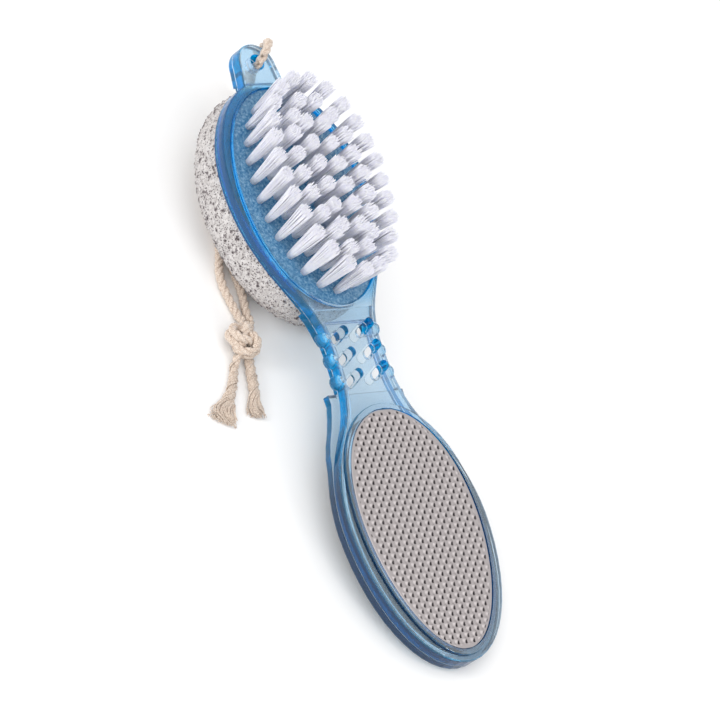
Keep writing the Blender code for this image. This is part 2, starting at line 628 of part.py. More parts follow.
def bristle_arc(number, places, walked, stops):
    """One arc of tufts, fused to the strip of the backing that holds it."""
    top = -BED_DEPTH + CLEARANCE + PLATE_THICKNESS
    bottom = top - CHANNEL_DEPTH + CLEARANCE
    name = "bristle_arc_%02d" % number
    strip = flat_prism(name, [strip_outline(places, walked, stops)], bottom, top)
    arc = add_object(name, strip, NYLON)
    work = bmesh.new()
    for stop in stops:
        place = walk_to(places, walked, stop)[0]
        share_x = place.x / OUTER_HALF_WIDTH
        share_y = (place.y - BED_Y) / OUTER_HALF_LENGTH
        root = Vector((place.x, place.y, bottom + (top - bottom) / 2))
        tip = Vector((place.x + LEAN_X + FAN_X * share_x,
                      place.y + LEAN_Y + FAN_Y * share_y + SKEW_Y * share_x, top + BRISTLE_HEIGHT))
        bristle(work, root, tip, 0.0)
        for i in range(BRISTLES_PER_TUFT - 1):
            angle = 2 * math.pi * i / (BRISTLES_PER_TUFT - 1)
            side = Vector((math.cos(angle), math.sin(angle), 0.0))
            bristle(work, root + TUFT_ROOT_RADIUS * side, tip + TUFT_TIP_RADIUS * side, angle)
    mesh = bpy.data.meshes.new(name + "_bristles")
    work.to_mesh(mesh)
    work.free()
    strands = add_cutter(name + "_bristles", mesh)
    boolean(arc, strands, "UNION")
    return arc


def brush_plate():
    low = -BED_DEPTH + CLEARANCE
    plate = add_object("brush_plate", flat_prism(
        "brush_plate", [egg_outline(BED_Y, BED_HALF_LENGTH - CLEARANCE, BED_HALF_WIDTH - CLEARANCE)],
        low, low + PLATE_THICKNESS), BLUE_PLASTIC)
    for index, bristle_line in enumerate(tuft_arcs()):
        name = "channel_cutter_%02d" % (index + 1)
        boolean(plate, add_cutter(name, flat_prism(
            name, [strip_outline(*bristle_line, CLEARANCE)],
            low + PLATE_THICKNESS - CHANNEL_DEPTH, low + PLATE_THICKNESS + CUT_OVERRUN)))
    smooth(plate)
    return plate


# Pumice stone
def stone_point(direction):
    """A point of the stone for a unit direction: a squared, swelling dome below a flat back."""
    x, y, z = direction
    flat = math.hypot(x, y)
    rise = abs(z)
    seat = -BRUSH_DEPTH - CLEARANCE
    if z > 0:
        return Vector((STONE_HALF_WIDTH * x / flat, STONE_Y + STONE_HALF_LENGTH * y / flat, seat))
    size = (flat ** STONE_SQUARENESS + rise ** STONE_SQUARENESS) ** (-1 / STONE_SQUARENESS)
    share = rise * size
    wide = size * (1 + STONE_SWELL_SHARE * 4 * share * (1 - share))
    slope = 1 + STONE_SLOPE_SHARE * y * size
    return Vector((STONE_HALF_WIDTH * x * wide, STONE_Y + STONE_HALF_LENGTH * y * wide,
                   seat - STONE_DEPTH * slope * share))


def pumice_stone():
    work = bmesh.new()
    bmesh.ops.create_uvsphere(work, u_segments=48, v_segments=28, radius=1.0)
    upper = [v for v in work.verts if v.co.z > 0.0001]
    bmesh.ops.delete(work, geom=upper, context="VERTS")
    for vert in work.verts:
        vert.co = stone_point(vert.co)
    rim = [edge for edge in work.edges if edge.is_boundary]
    bmesh.ops.holes_fill(work, edges=rim)
    bmesh.ops.recalc_face_normals(work, faces=work.faces)
    mesh = bpy.data.meshes.new("pumice_stone")
    work.to_mesh(mesh)
    work.free()
    stone = add_object("pumice_stone", mesh, PUMICE)
    smooth(stone)
    return stone


# Steel file and emery pad
def file_plate():
    low = -FILE_POCKET_DEPTH + CLEARANCE + ADHESIVE_THICKNESS + CLEARANCE
    plate = add_object("file_plate", flat_prism(
        "file_plate", [egg_outline(FILE_PLATE_Y, FILE_PLATE_HALF_LENGTH, FILE_PLATE_HALF_WIDTH,
                                   FILE_EGG_SHARE)],
        low, low + FILE_PLATE_THICKNESS, FILE_PLATE_ROUND, 1), STEEL)
    smooth(plate)
    film = add_object("file_adhesive", flat_prism(
        "file_adhesive", [egg_outline(FILE_PLATE_Y, FILE_PLATE_HALF_LENGTH - ADHESIVE_INSET,
                                      FILE_PLATE_HALF_WIDTH - ADHESIVE_INSET, FILE_EGG_SHARE)],
        -FILE_POCKET_DEPTH + CLEARANCE, -FILE_POCKET_DEPTH + CLEARANCE + ADHESIVE_THICKNESS), ADHESIVE)
    return plate, film


def emery_pad():
    top = -BODY_DEPTH + EMERY_POCKET_DEPTH - CLEARANCE
    outline = egg_outline(EMERY_Y, EMERY_HALF_LENGTH, EMERY_HALF_WIDTH, FILE_EGG_SHARE)
    foam = add_object("emery_foam", flat_prism("emery_foam", [outline], top - FOAM_THICKNESS, top), FOAM)
    low = top - FOAM_THICKNESS - CLEARANCE
    grit = add_object("emery_sheet", flat_prism(
        "emery_sheet", [outline], low - EMERY_THICKNESS, low), EMERY)
    return foam, grit


# Cord
def smooth_route(points, step):
    """Points about a step apart on a smooth curve through the given ones."""
    through = [Vector(point) for point in points]
    through = [2 * through[0] - through[1]] + through + [2 * through[-1] - through[-2]]
    fine = []
    for i in range(1, len(through) - 2):
        p0, p1, p2, p3 = through[i - 1:i + 3]
        for part_step in range(CORD_FINE_STEPS):
            u = part_step / CORD_FINE_STEPS
            fine.append(0.5 * (2 * p1 + (p2 - p0) * u + (2 * p0 - 5 * p1 + 4 * p2 - p3) * u * u
                               + (3 * p1 - p0 - 3 * p2 + p3) * u * u * u))
    fine.append(through[-2])
    lengths = [0.0]
    for before, after in zip(fine, fine[1:]):
        lengths.append(lengths[-1] + (after - before).length)
    count = round(lengths[-1] / step)
    route = []
    place = 0
    for i in range(count + 1):
        wanted = lengths[-1] * i / count
        while place < len(fine) - 2 and lengths[place + 1] < wanted:
            place += 1
        share = (wanted - lengths[place]) / (lengths[place + 1] - lengths[place])
        point = fine[place].lerp(fine[place + 1], share)
        point.z = max(point.z, CORD_RADIUS + CORD_LIFT)
        route.append(point)
    return route, lengths[-1]


def cord_loop():
    route, length = smooth_route(CORD_ROUTE, CORD_STEP)
    curve = bpy.data.curves.new("cord_loop", "CURVE")
    curve.dimensions = "3D"
    curve.bevel_depth = CORD_RADIUS
    curve.bevel_resolution = 2
    curve.use_fill_caps = True
    spline = curve.splines.new("POLY")
    spline.points.add(len(route) - 1)
    for point, place in zip(spline.points, route):
        point.co = (*place, 1.0)
    loop = add_object("cord_loop", curve_mesh("cord_loop", curve), CORD, in_pose=False)
    smooth(loop)
    print("cord loop: %.1f mm, %d points" % (length * 1000, len(route)))
    return loop


def cord_knot():
    """The knot's two lobes, joined."""
    lobes = []
    for number, (centre, halves) in enumerate(KNOT_LOBES):
        work = bmesh.new()
        place = Matrix.Translation(centre) @ Matrix.Rotation(KNOT_TURN, 4, "Z") @ Matrix.Diagonal((*halves, 1.0))
        bmesh.ops.create_uvsphere(work, u_segments=20, v_segments=14, radius=1.0, matrix=place)
        mesh = bpy.data.meshes.new("knot_lobe_%d" % (number + 1))
        work.to_mesh(mesh)
        work.free()
        lobes.append(mesh)
    knot = add_object("cord_knot", lobes[0], CORD, in_pose=False)
    second = add_cutter("knot_lobe_cutter", lobes[1], in_pose=False)
    boolean(knot, second, "UNION")
    smooth(knot)
    return knot


def cord_tail(name, stations):
    """A cord end that flattens and frays out as it lies on the table."""
    work = bmesh.new()
    rings = []
    for i, (x, y, half_wide, half_high) in enumerate(stations):
        before = stations[max(i - 1, 0)]
        after = stations[min(i + 1, len(stations) - 1)]
        along = Vector((after[0] - before[0], after[1] - before[1])).normalized()
        ring = []
        for side in range(TAIL_SIDES):
            angle = 2 * math.pi * side / TAIL_SIDES
            across = half_wide * math.cos(angle)
            ring.append(work.verts.new((x - along.y * across, y + along.x * across,
                                        half_high * (1 + math.sin(angle)))))
        rings.append(ring)
    for before, after in zip(rings, rings[1:]):
        for side in range(TAIL_SIDES):
            beside = (side + 1) % TAIL_SIDES
            work.faces.new((before[side], before[beside], after[beside], after[side]))
    work.faces.new(list(reversed(rings[0])))
    work.faces.new(rings[-1])
    bmesh.ops.recalc_face_normals(work, faces=work.faces)
    mesh = bpy.data.meshes.new(name)
    work.to_mesh(mesh)
    work.free()
    tail = add_object(name, mesh, CORD, in_pose=False)
    smooth(tail)
    return tail


front_shell()
back_shell()
brush_plate()
for index, bristle_line in enumerate(tuft_arcs()):
    bristle_arc(index + 1, *bristle_line)
pumice_stone()
file_plate()
emery_pad()
cord_loop()
cord_knot()
cord_tail("cord_tail_left", TAIL_LEFT)
cord_tail("cord_tail_right", TAIL_RIGHT)


# Resting pose
def resting_points():
    """Sample points of the two things that touch the table: the stone and the file head's edge."""
    stone = []
    for ring in range(1, POSE_RINGS):
        angle = math.pi / 2 * ring / POSE_RINGS
        for step in range(POSE_TURNS):
            turn = 2 * math.pi * step / POSE_TURNS
            stone.append(stone_point(Vector((math.cos(angle) * math.cos(turn),
                                             math.cos(angle) * math.sin(turn), -math.sin(angle)))))
    edge = [Vector((point.x, point.y, -BODY_DEPTH)) for point in paddle_outline(EDGE_ROUND)
            if point.y < FILE_Y]
    return stone, edge


def rest_rotation():
    """Rolls the paddle onto its cord side, then pitches it until stone and file tip are level."""
    stone, edge = resting_points()
    roll = Matrix.Rotation(ROLL, 4, "Y")
    low_pitch, high_pitch = 0.0, STEEPEST_PITCH
    for _ in range(POSE_STEPS):
        pitch = (low_pitch + high_pitch) / 2
        turned = Matrix.Rotation(pitch, 4, "X") @ roll
        stone_low = min((turned @ point).z for point in stone)
        edge_low = min((turned @ point).z for point in edge)
        if stone_low < edge_low:
            low_pitch = pitch
        else:
            high_pitch = pitch
    return turned


def rest_matrix():
    """The turned paddle, moved so that its box stands on Z = 0 with its middle at X = Y = 0."""
    turned = rest_rotation()
    graph = bpy.context.evaluated_depsgraph_get()
    places = []
    for item in parts.objects:
        if item.parent == pose:
            shape = item.evaluated_get(graph).to_mesh()
            places.extend(turned @ vert.co for vert in shape.vertices)
    lows = [min(place[axis] for place in places) for axis in range(3)]
    highs = [max(place[axis] for place in places) for axis in range(3)]
    middle = Vector(((lows[0] + highs[0]) / 2, (lows[1] + highs[1]) / 2, lows[2]))
    return Matrix.Translation(-middle) @ turned


placed = rest_matrix()
pose.matrix_world = placed
bpy.context.view_layer.update()
print("rest pose: pitch %.2f deg, face centre at %s mm" % (
    math.degrees(placed.to_euler("XYZ").x), [round(value * 1000, 2) for value in placed.translation]))
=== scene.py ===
# %% [markdown]
# # A four-sided pedicure scrubber in clear blue plastic
#
# The object is a paddle shaped like an hourglass. One head carries a tufted brush on its front and
# a pumice stone on its back. The other head carries a punched steel file on its front and an emery
# sheet on its back. A twisted cotton cord is knotted through a lug at the end of the brush head.
#
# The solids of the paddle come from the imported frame, at the place where they lie on a table. This
# script gives them their finishes, and it models anew what a plain solid can't show: the nylon
# tufts, the punched steel, the pores of the pumice, and the cord with its knot and frayed ends.

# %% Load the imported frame
import json
import math

import bpy
import numpy as np
from mathutils import Matrix, Vector


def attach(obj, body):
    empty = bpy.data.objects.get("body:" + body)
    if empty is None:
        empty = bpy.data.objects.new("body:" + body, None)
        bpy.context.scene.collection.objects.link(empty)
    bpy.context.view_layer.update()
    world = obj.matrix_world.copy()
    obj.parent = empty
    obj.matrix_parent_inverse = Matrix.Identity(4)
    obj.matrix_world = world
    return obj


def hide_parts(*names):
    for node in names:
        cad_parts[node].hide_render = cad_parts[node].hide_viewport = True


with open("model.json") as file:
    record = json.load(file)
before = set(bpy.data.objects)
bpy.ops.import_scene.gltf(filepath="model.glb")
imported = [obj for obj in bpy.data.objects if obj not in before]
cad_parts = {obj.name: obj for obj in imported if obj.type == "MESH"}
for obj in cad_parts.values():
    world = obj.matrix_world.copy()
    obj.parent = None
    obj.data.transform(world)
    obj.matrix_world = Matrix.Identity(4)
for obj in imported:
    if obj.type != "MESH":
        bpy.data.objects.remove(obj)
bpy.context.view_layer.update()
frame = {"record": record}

# %% [markdown]
# ## Where the paddle lies
#
# The paddle rests on its stone and the rim of its file head, with a small roll towards +X, and the
# cord runs below the raised side of the stone. Every new piece is worked out flat on the paddle,
# where X runs across it, Y towards the lug and Z out of its front, and is then turned into place.
# The turn isn't typed in: the record states a flat mount on the steel file, and its axis is the
# paddle's own Z. The roll and the pitch are read from that one direction.

# %% The paddle's own axes
FILE_MIDDLE = Vector((0.0, -0.0662, 0.0013))
mounts = {mount["name"]: mount for mount in frame["record"]["mounts"]}
file_mount = mounts["file_face"]
face_normal = Vector(file_mount["axis"]).normalized()
roll = math.asin(face_normal.x)
pitch = math.atan2(-face_normal.y, face_normal.z)
paddle = Matrix.Rotation(pitch, 4, "X") @ Matrix.Rotation(roll, 4, "Y")
paddle.translation = Vector(file_mount["pos_m"]) - paddle.to_3x3() @ FILE_MIDDLE
paddle_turn = np.array(paddle.to_3x3())
paddle_place = np.array(paddle.translation)
print("roll %.2f and pitch %.2f degrees" % (math.degrees(roll), math.degrees(pitch)))


def lay_down(points):
    """Turns points from the flat paddle's axes into their place on the table."""
    return points @ paddle_turn.T + paddle_place


# %% [markdown]
# ## The camera
#
# The photograph was taken with a long lens from in front of the paddle's left side, with the camera
# turned about its own axis so that the paddle stands almost upright in the frame. The place, the
# turn and the lens were solved from points of the photo whose places on the object are known, so
# the camera's three directions are given on the paddle: right, up and back in the picture. The lens
# looks at the middle of the grip, a little off the middle of the frame, so the view is shifted.

# %% Camera
CAMERA_DISTANCE = 1.6667
CAMERA_RIGHT = Vector((0.74063, -0.32144, 0.59004))
CAMERA_UP = Vector((0.06341, 0.90766, 0.41488))
CAMERA_BACK = Vector((-0.66892, -0.26986, 0.69262))
CAMERA_LENS = 254.15
SENSOR_WIDTH = 36.0
FRAME_WIDTH = 720
FRAME_HEIGHT = 713
SIGHT_PIXEL = (357.17, 344.1)

camera_data = bpy.data.cameras.new("photo_camera")
camera_data.lens = CAMERA_LENS
camera_data.sensor_width = SENSOR_WIDTH
camera_data.shift_x = (FRAME_WIDTH / 2 - SIGHT_PIXEL[0]) / FRAME_WIDTH
camera_data.shift_y = (SIGHT_PIXEL[1] - FRAME_HEIGHT / 2) / FRAME_WIDTH
camera_data.clip_start = 0.1
camera = bpy.data.objects.new("photo_camera", camera_data)
bpy.context.scene.collection.objects.link(camera)
camera_turn = paddle.to_3x3() @ Matrix((CAMERA_RIGHT, CAMERA_UP, CAMERA_BACK)).transposed()
camera.rotation_mode = "QUATERNION"
camera.rotation_quaternion = camera_turn.to_quaternion()
camera.location = paddle.translation + CAMERA_DISTANCE * (camera_turn @ Vector((0.0, 0.0, 1.0)))
bpy.context.scene.camera = camera
print("camera at", [round(value, 4) for value in camera.location])

# %% [markdown]
# ## Helpers for surfaces
#
# Most new pieces are grids: a function of two parameters gives a block of points, and one helper
# turns the block into a mesh of quads. Long thin pieces, such as filaments and yarn, are many such
# grids at once, so a second helper takes a stack of paths and makes a single mesh of their tubes.

# %% From a grid of points to a mesh
STEEP = 0.8


def grid_faces(rows, columns, round_columns):
    """Quads of one grid: each joins a point to the next in its row and to the row after."""
    across = columns if round_columns else columns - 1
    row, column = np.meshgrid(np.arange(rows - 1), np.arange(across), indexing="ij")
    beside = (column + 1) % columns
    quads = np.stack([row * columns + column, row * columns + beside,
                      (row + 1) * columns + beside, (row + 1) * columns + column], axis=-1)
    return quads.reshape(-1, 4)


def new_piece(name, points, faces, smooth=True):
    """Makes an object from an array of points and a list of arrays of faces."""
    mesh = bpy.data.meshes.new(name)
    face_list = [face for group in faces for face in group.tolist()]
    mesh.from_pydata(points.reshape(-1, 3).tolist(), [], face_list)
    mesh.validate()
    if smooth:
        mesh.shade_smooth()
    mesh.update()
    piece = bpy.data.objects.new(name, mesh)
    bpy.context.scene.collection.objects.link(piece)
    return piece


def tube_stack(name, paths, radius, sides):
    """Closed tubes of one radius along many paths at once.

    paths has a row for each tube and a point for each step. A ring's corners lie at equal angles in
    the plane of two directions square to the path. The first of them is square to the vertical too,
    or to X where the path is steeper than STEEP.
    """
    tubes, steps = paths.shape[:2]
    along = np.gradient(paths, axis=1)
    along /= np.linalg.norm(along, axis=2, keepdims=True)
    steep = np.abs(along[..., 2:3]) > STEEP
    helper = np.where(steep, np.array([1.0, 0.0, 0.0]), np.array([0.0, 0.0, 1.0]))
    side = np.cross(along, helper)
    side /= np.linalg.norm(side, axis=2, keepdims=True)
    other = np.cross(along, side)
    angle = 2 * np.pi * np.arange(sides) / sides
    ring = (side[:, :, None, :] * np.cos(angle)[None, None, :, None]
            + other[:, :, None, :] * np.sin(angle)[None, None, :, None])
    points = paths[:, :, None, :] + radius * ring
    walls = grid_faces(steps, sides, True)
    starts = (np.arange(tubes) * steps * sides)[:, None, None]
    quads = (walls[None] + starts).reshape(-1, 4)
    first = np.arange(sides)[::-1][None] + starts[:, :, 0]
    last = (steps - 1) * sides + np.arange(sides)[None] + starts[:, :, 0]
    return new_piece(name, points, [quads, first, last])


def carry(piece, name, values):
    """Stores a number at each point of a piece's mesh, for its finish to read."""
    shade = piece.data.attributes.new(name, "FLOAT", "POINT")
    shade.data.foreach_set("value", values.astype(np.float32))


# %% [markdown]
# ## Helpers for materials
#
# Each finish is a Principled shader with a few nodes before it. The patterns read Object
# coordinates, which are the table's axes in metres here, so a scale of 1000 is one cell to a
# millimetre. Values that are the same all over a surface are set on the shader's own sockets.


# %% A finish and its nodes
def grey(value):
    """The colour whose three parts are the same."""
    return (value, value, value)


class Finish:
    """A named material whose nodes are added one by one."""

    def __init__(self, name, colour, roughness, metallic=0.0):
        self.material = bpy.data.materials.new(name)
        self.material.use_nodes = True
        self.tree = self.material.node_tree
        self.shader = self.tree.nodes["Principled BSDF"]
        self.set("Base Color", (*colour, 1.0))
        self.set("Roughness", roughness)
        self.set("Metallic", metallic)
        self.material.diffuse_color = (*colour, 1.0)

    def set(self, socket, value):
        self.shader.inputs[socket].default_value = value

    def drive(self, socket, source):
        """Links one of the shader's sockets to a source that varies over the surface."""
        self.link(source, self.shader.inputs[socket])

    def node(self, kind, **values):
        made = self.tree.nodes.new(kind)
        for key, value in values.items():
            setattr(made, key, value)
        return made

    def link(self, source, target):
        self.tree.links.new(source, target)

    def noise(self, scale, detail=4.0, roughness=0.55):
        """A soft cloudy pattern, with scale cells to the metre."""
        made = self.node("ShaderNodeTexNoise")
        made.inputs["Scale"].default_value = scale
        made.inputs["Detail"].default_value = detail
        made.inputs["Roughness"].default_value = roughness
        self.link(self.place(), made.inputs["Vector"])
        return made.outputs["Fac"]

    def cells(self, scale):
        """Distance to the nearest of many scattered points, with scale cells to the metre."""
        made = self.node("ShaderNodeTexVoronoi")
        made.inputs["Scale"].default_value = scale
        self.link(self.place(), made.inputs["Vector"])
        return made.outputs["Distance"]

    def place(self):
        return self.node("ShaderNodeTexCoord").outputs["Object"]

    def part_along(self, vector, direction):
        """The dot product of a vector that varies over the surface and a fixed direction."""
        made = self.node("ShaderNodeVectorMath", operation="DOT_PRODUCT")
        made.inputs[1].default_value = tuple(direction)
        self.link(vector, made.inputs[0])
        return made.outputs["Value"]

    def attribute(self, name):
        """A number that the mesh carries at its points."""
        return self.node("ShaderNodeAttribute", attribute_name=name).outputs["Fac"]

    def ramp(self, source, stops):
        """Maps a number to a colour through the given stops."""
        made = self.node("ShaderNodeValToRGB")
        ramp = made.color_ramp
        while len(ramp.elements) < len(stops):
            ramp.elements.new(1.0)
        for element, (position, colour) in zip(ramp.elements, stops):
            element.position = position
            element.color = (*colour, 1.0)
        self.link(source, made.inputs["Fac"])
        return made.outputs["Color"]

    def multiply(self, first, second, share=None):
        """Multiplies two colours, fully or by a share that varies over the surface."""
        made = self.node("ShaderNodeMix", data_type="RGBA", blend_type="MULTIPLY")
        made.inputs["Factor"].default_value = 1.0
        if share:
            self.link(share, made.inputs["Factor"])
        self.link(first, made.inputs["A"])
        self.link(second, made.inputs["B"])
        return made.outputs["Result"]

    def bump(self, source, height, strength=1.0):
        """Raises the surface by height metres where the source is white."""
        made = self.node("ShaderNodeBump")
        made.inputs["Strength"].default_value = strength
        made.inputs["Distance"].default_value = height
        if self.shader.inputs["Normal"].is_linked:
            self.link(self.shader.inputs["Normal"].links[0].from_socket, made.inputs["Normal"])
        self.link(source, made.inputs["Height"])
        self.link(made.outputs["Normal"], self.shader.inputs["Normal"])

    def give(self, *pieces):
        """Puts the finish on pieces, in place of what they have, and prints which it is."""
        for piece in pieces:
            piece.data.materials.clear()
            piece.data.materials.append(self.material)
        print("finish %s: %d pieces" % (self.material.name, len(pieces)))


# %% [markdown]
# ## The hanging cord
#
# The cord is cotton, three yarns twisted together, about 3 mm thick. It goes from the knot along
# the table, under the raised side of the stone, up through the hole of the lug, over the lug's end
# and back by the same way. A photograph shows its two ends, so its length is what that route
# measures. The route repeats the chosen points of the part's own cord, because the loop is a free
# cord and must lie where its solid lies. A smooth curve is carried through the points.

# %% Cord route
CORD_RADIUS = 0.0015
CORD_LIFT = 0.0001
CORD_STEP = 0.0008
CURVE_READINGS = 24
CORD_ROUTE = np.array([
    (-0.0248, 0.0237, 0.0026), (-0.0249, 0.0276, 0.0016), (-0.0252, 0.0315, 0.0015),
    (-0.0255, 0.0352, 0.0015), (-0.0254, 0.0394, 0.0015), (-0.0245, 0.0436, 0.0015),
    (-0.0227, 0.0477, 0.0015), (-0.0209, 0.0516, 0.0015), (-0.0196, 0.0556, 0.0015),
    (-0.0188, 0.0602, 0.0015), (-0.0180, 0.0660, 0.0015), (-0.0165, 0.0724, 0.0015),
    (-0.0137, 0.0789, 0.0015), (-0.0093, 0.0847, 0.0015), (-0.0041, 0.0895, 0.0015),
    (0.0010, 0.0940, 0.0015), (0.0046, 0.0980, 0.0015), (0.0061, 0.1009, 0.0024),
    (0.0071, 0.1030, 0.0048), (0.0075, 0.1039, 0.0080), (0.0071, 0.1046, 0.0125),
    (0.0058, 0.1049, 0.0170), (0.0040, 0.1049, 0.0210), (0.0022, 0.1043, 0.0242),
    (0.0008, 0.1036, 0.0268), (0.0003, 0.1030, 0.0289), (0.0004, 0.1027, 0.0309),
    (0.0012, 0.1032, 0.0339), (0.0027, 0.1048, 0.0361), (0.0047, 0.1070, 0.0369),
    (0.0067, 0.1092, 0.0361), (0.0082, 0.1108, 0.0339), (0.0088, 0.1114, 0.0309),
    (0.0090, 0.1119, 0.0275), (0.0093, 0.1123, 0.0235), (0.0101, 0.1125, 0.0183),
    (0.0114, 0.1123, 0.0130), (0.0127, 0.1117, 0.0080), (0.0135, 0.1108, 0.0048),
    (0.0139, 0.1085, 0.0024), (0.0135, 0.1052, 0.0015), (0.0118, 0.1006, 0.0015),
    (0.0088, 0.0960, 0.0015), (0.0042, 0.0912, 0.0015), (-0.0012, 0.0862, 0.0015),
    (-0.0063, 0.0811, 0.0015), (-0.0103, 0.0756, 0.0015), (-0.0131, 0.0694, 0.0015),
    (-0.0146, 0.0630, 0.0015), (-0.0157, 0.0565, 0.0015), (-0.0173, 0.0501, 0.0015),
    (-0.0186, 0.0444, 0.0015), (-0.0191, 0.0394, 0.0015), (-0.0194, 0.0354, 0.0015),
    (-0.0201, 0.0314, 0.0015), (-0.0211, 0.0273, 0.0016), (-0.0217, 0.0230, 0.0024)])


def smooth_route(points, step):
    """Points about a step apart on the Catmull-Rom curve through the given ones.

    Between two points the curve is a cubic whose slope at each is half the way from the point
    before to the point after. The cubic is read densely, and then again at equal lengths.
    """
    padded = np.vstack([2 * points[0] - points[1], points, 2 * points[-1] - points[-2]])
    share = np.linspace(0.0, 1.0, CURVE_READINGS, endpoint=False)[None, :, None]
    p0, p1, p2, p3 = (padded[i:len(padded) - 3 + i, None, :] for i in range(4))
    curve = 0.5 * (2 * p1 + (p2 - p0) * share + (2 * p0 - 5 * p1 + 4 * p2 - p3) * share ** 2
                   + (3 * p1 - p0 - 3 * p2 + p3) * share ** 3)
    curve = np.vstack([curve.reshape(-1, 3), points[-1]])
    lengths = np.concatenate([[0.0], np.cumsum(np.linalg.norm(np.diff(curve, axis=0), axis=1))])
    count = int(round(lengths[-1] / step)) + 1
    wanted = np.linspace(0.0, lengths[-1], count)
    route = np.stack([np.interp(wanted, lengths, curve[:, axis]) for axis in range(3)], axis=1)
    return route, lengths[-1]


# %% [markdown]
# A twisted cord is three yarns on one screw line each. To lay them, the route needs a pair of
# directions square to it that don't spin by themselves. They are carried along the route: each
# step takes the last step's direction and removes what now points along the cord.


# %% Twisted yarns along a route
YARNS = 3
YARN_RADIUS = 0.00078
YARN_OFFSET = 0.00080
YARN_SIDES = 9
TWIST_PITCH = 0.0088


def steady_axes(route):
    """For each point of a route, two directions square to it that turn as little as they can."""
    along = np.gradient(route, axis=0)
    along /= np.linalg.norm(along, axis=1, keepdims=True)
    side = np.zeros_like(route)
    start = np.array([1.0, 0.0, 0.0] if abs(along[0][2]) > STEEP else [0.0, 0.0, 1.0])
    for i in range(len(route)):
        start = start - np.dot(start, along[i]) * along[i]
        start /= np.linalg.norm(start)
        side[i] = start
    return side, np.cross(along, side)


def yarn_paths(route, offset):
    """The screw lines of the cord's yarns: a circle of the given offset, turned along the route."""
    side, other = steady_axes(route)
    travelled = np.concatenate([[0.0], np.cumsum(np.linalg.norm(np.diff(route, axis=0), axis=1))])
    starts = 2 * np.pi * np.arange(YARNS)[:, None] / YARNS
    angle = starts + 2 * np.pi * travelled[None, :] / TWIST_PITCH
    circle = np.cos(angle)[..., None] * side[None] + np.sin(angle)[..., None] * other[None]
    return route[None] + offset * circle


cord_route, cord_length = smooth_route(CORD_ROUTE, CORD_STEP)
cord_route[:, 2] = np.maximum(cord_route[:, 2], CORD_RADIUS + CORD_LIFT)
cord_loop = tube_stack("cord_yarns", yarn_paths(cord_route, YARN_OFFSET), YARN_RADIUS, YARN_SIDES)
print("cord loop: %.1f mm of cord" % (cord_length * 1000))

# %% [markdown]
# The knot is an overhand knot tied in both strands at once. Its middle line is most of a trefoil
# knot: a circle that winds twice round an axis while it rises and falls three times. Where a
# trefoil closes, this line is left open and runs out to the two strands and to the two tails. The
# strands lie side by side on that line like a ribbon, and each is twisted as the cord is.

# %% Overhand knot
KNOT_MIDDLE = np.array([-0.0285, 0.0161, 0.0050])
KNOT_HEADING = math.radians(22.0)
KNOT_REACH = 0.00182
KNOT_RISE = 0.00150
KNOT_STRAND_OFFSET = 0.00130
KNOT_YARN_OFFSET = 0.00075
KNOT_YARN_RADIUS = 0.00076
KNOT_YARN_SIDES = 8
KNOT_OPENING = 0.32
KNOT_READINGS = 150
KNOT_STATION_STEP = 6
KNOT_STEP = 0.0006
STRAND_ENDS = [CORD_ROUTE[0], CORD_ROUTE[-1]]
TAIL_STARTS = [np.array([-0.0344, 0.0086, 0.0016]), np.array([-0.0279, 0.0102, 0.0016])]


def knot_line():
    """Most of a trefoil: radius 2 + cos 3t at angle 2t, height sin 3t, with a gap where it closes."""
    t = np.linspace(KNOT_OPENING, 2 * np.pi - KNOT_OPENING, KNOT_READINGS)
    radius = KNOT_REACH * (2 + np.cos(3 * t))
    height = KNOT_RISE * np.sin(3 * t)
    line = np.stack([radius * np.cos(2 * t), radius * np.sin(2 * t), height], axis=1)
    cos, sin = math.cos(KNOT_HEADING), math.sin(KNOT_HEADING)
    turn = np.array([[cos, -sin, 0.0], [sin, cos, 0.0], [0.0, 0.0, 1.0]])
    return line @ turn.T + KNOT_MIDDLE


def knot_strands():
    """The two strands, offset to each side of the middle line and led out to their ends.

    The side is square to the line and to the way out from the knot's middle. A strand that would
    sink into the table is laid on it.
    """
    line = knot_line()
    along = np.gradient(line, axis=0)
    along /= np.linalg.norm(along, axis=1, keepdims=True)
    outward = line - KNOT_MIDDLE
    across = np.cross(along, outward)
    across /= np.linalg.norm(across, axis=1, keepdims=True)
    strands = []
    for side, number in ((1, 1), (-1, 0)):
        beside = line + side * KNOT_STRAND_OFFSET * across
        stations = beside[KNOT_STATION_STEP:-KNOT_STATION_STEP:KNOT_STATION_STEP]
        ends = TAIL_STARTS[number], STRAND_ENDS[number]
        strand = smooth_route(np.vstack([ends[0], stations, ends[1]]), KNOT_STEP)[0]
        strand[:, 2] = np.maximum(strand[:, 2], KNOT_YARN_OFFSET + KNOT_YARN_RADIUS)
        strands.append(strand)
    return strands


knot_pieces = [tube_stack("knot_strand_%d" % number, yarn_paths(strand, KNOT_YARN_OFFSET),
                          KNOT_YARN_RADIUS, KNOT_YARN_SIDES)
               for number, strand in enumerate(knot_strands(), start=1)]
print("knot: %d strands" % len(knot_pieces))

# %% [markdown]
# Below the knot the cord ends in two tails. Each keeps its twist for a while and then comes apart
# into loose fibres that fan out flat on the table. A tail follows a few stations of its own: where
# the middle is, how far the fibres spread to each side, and how thick the fan is.

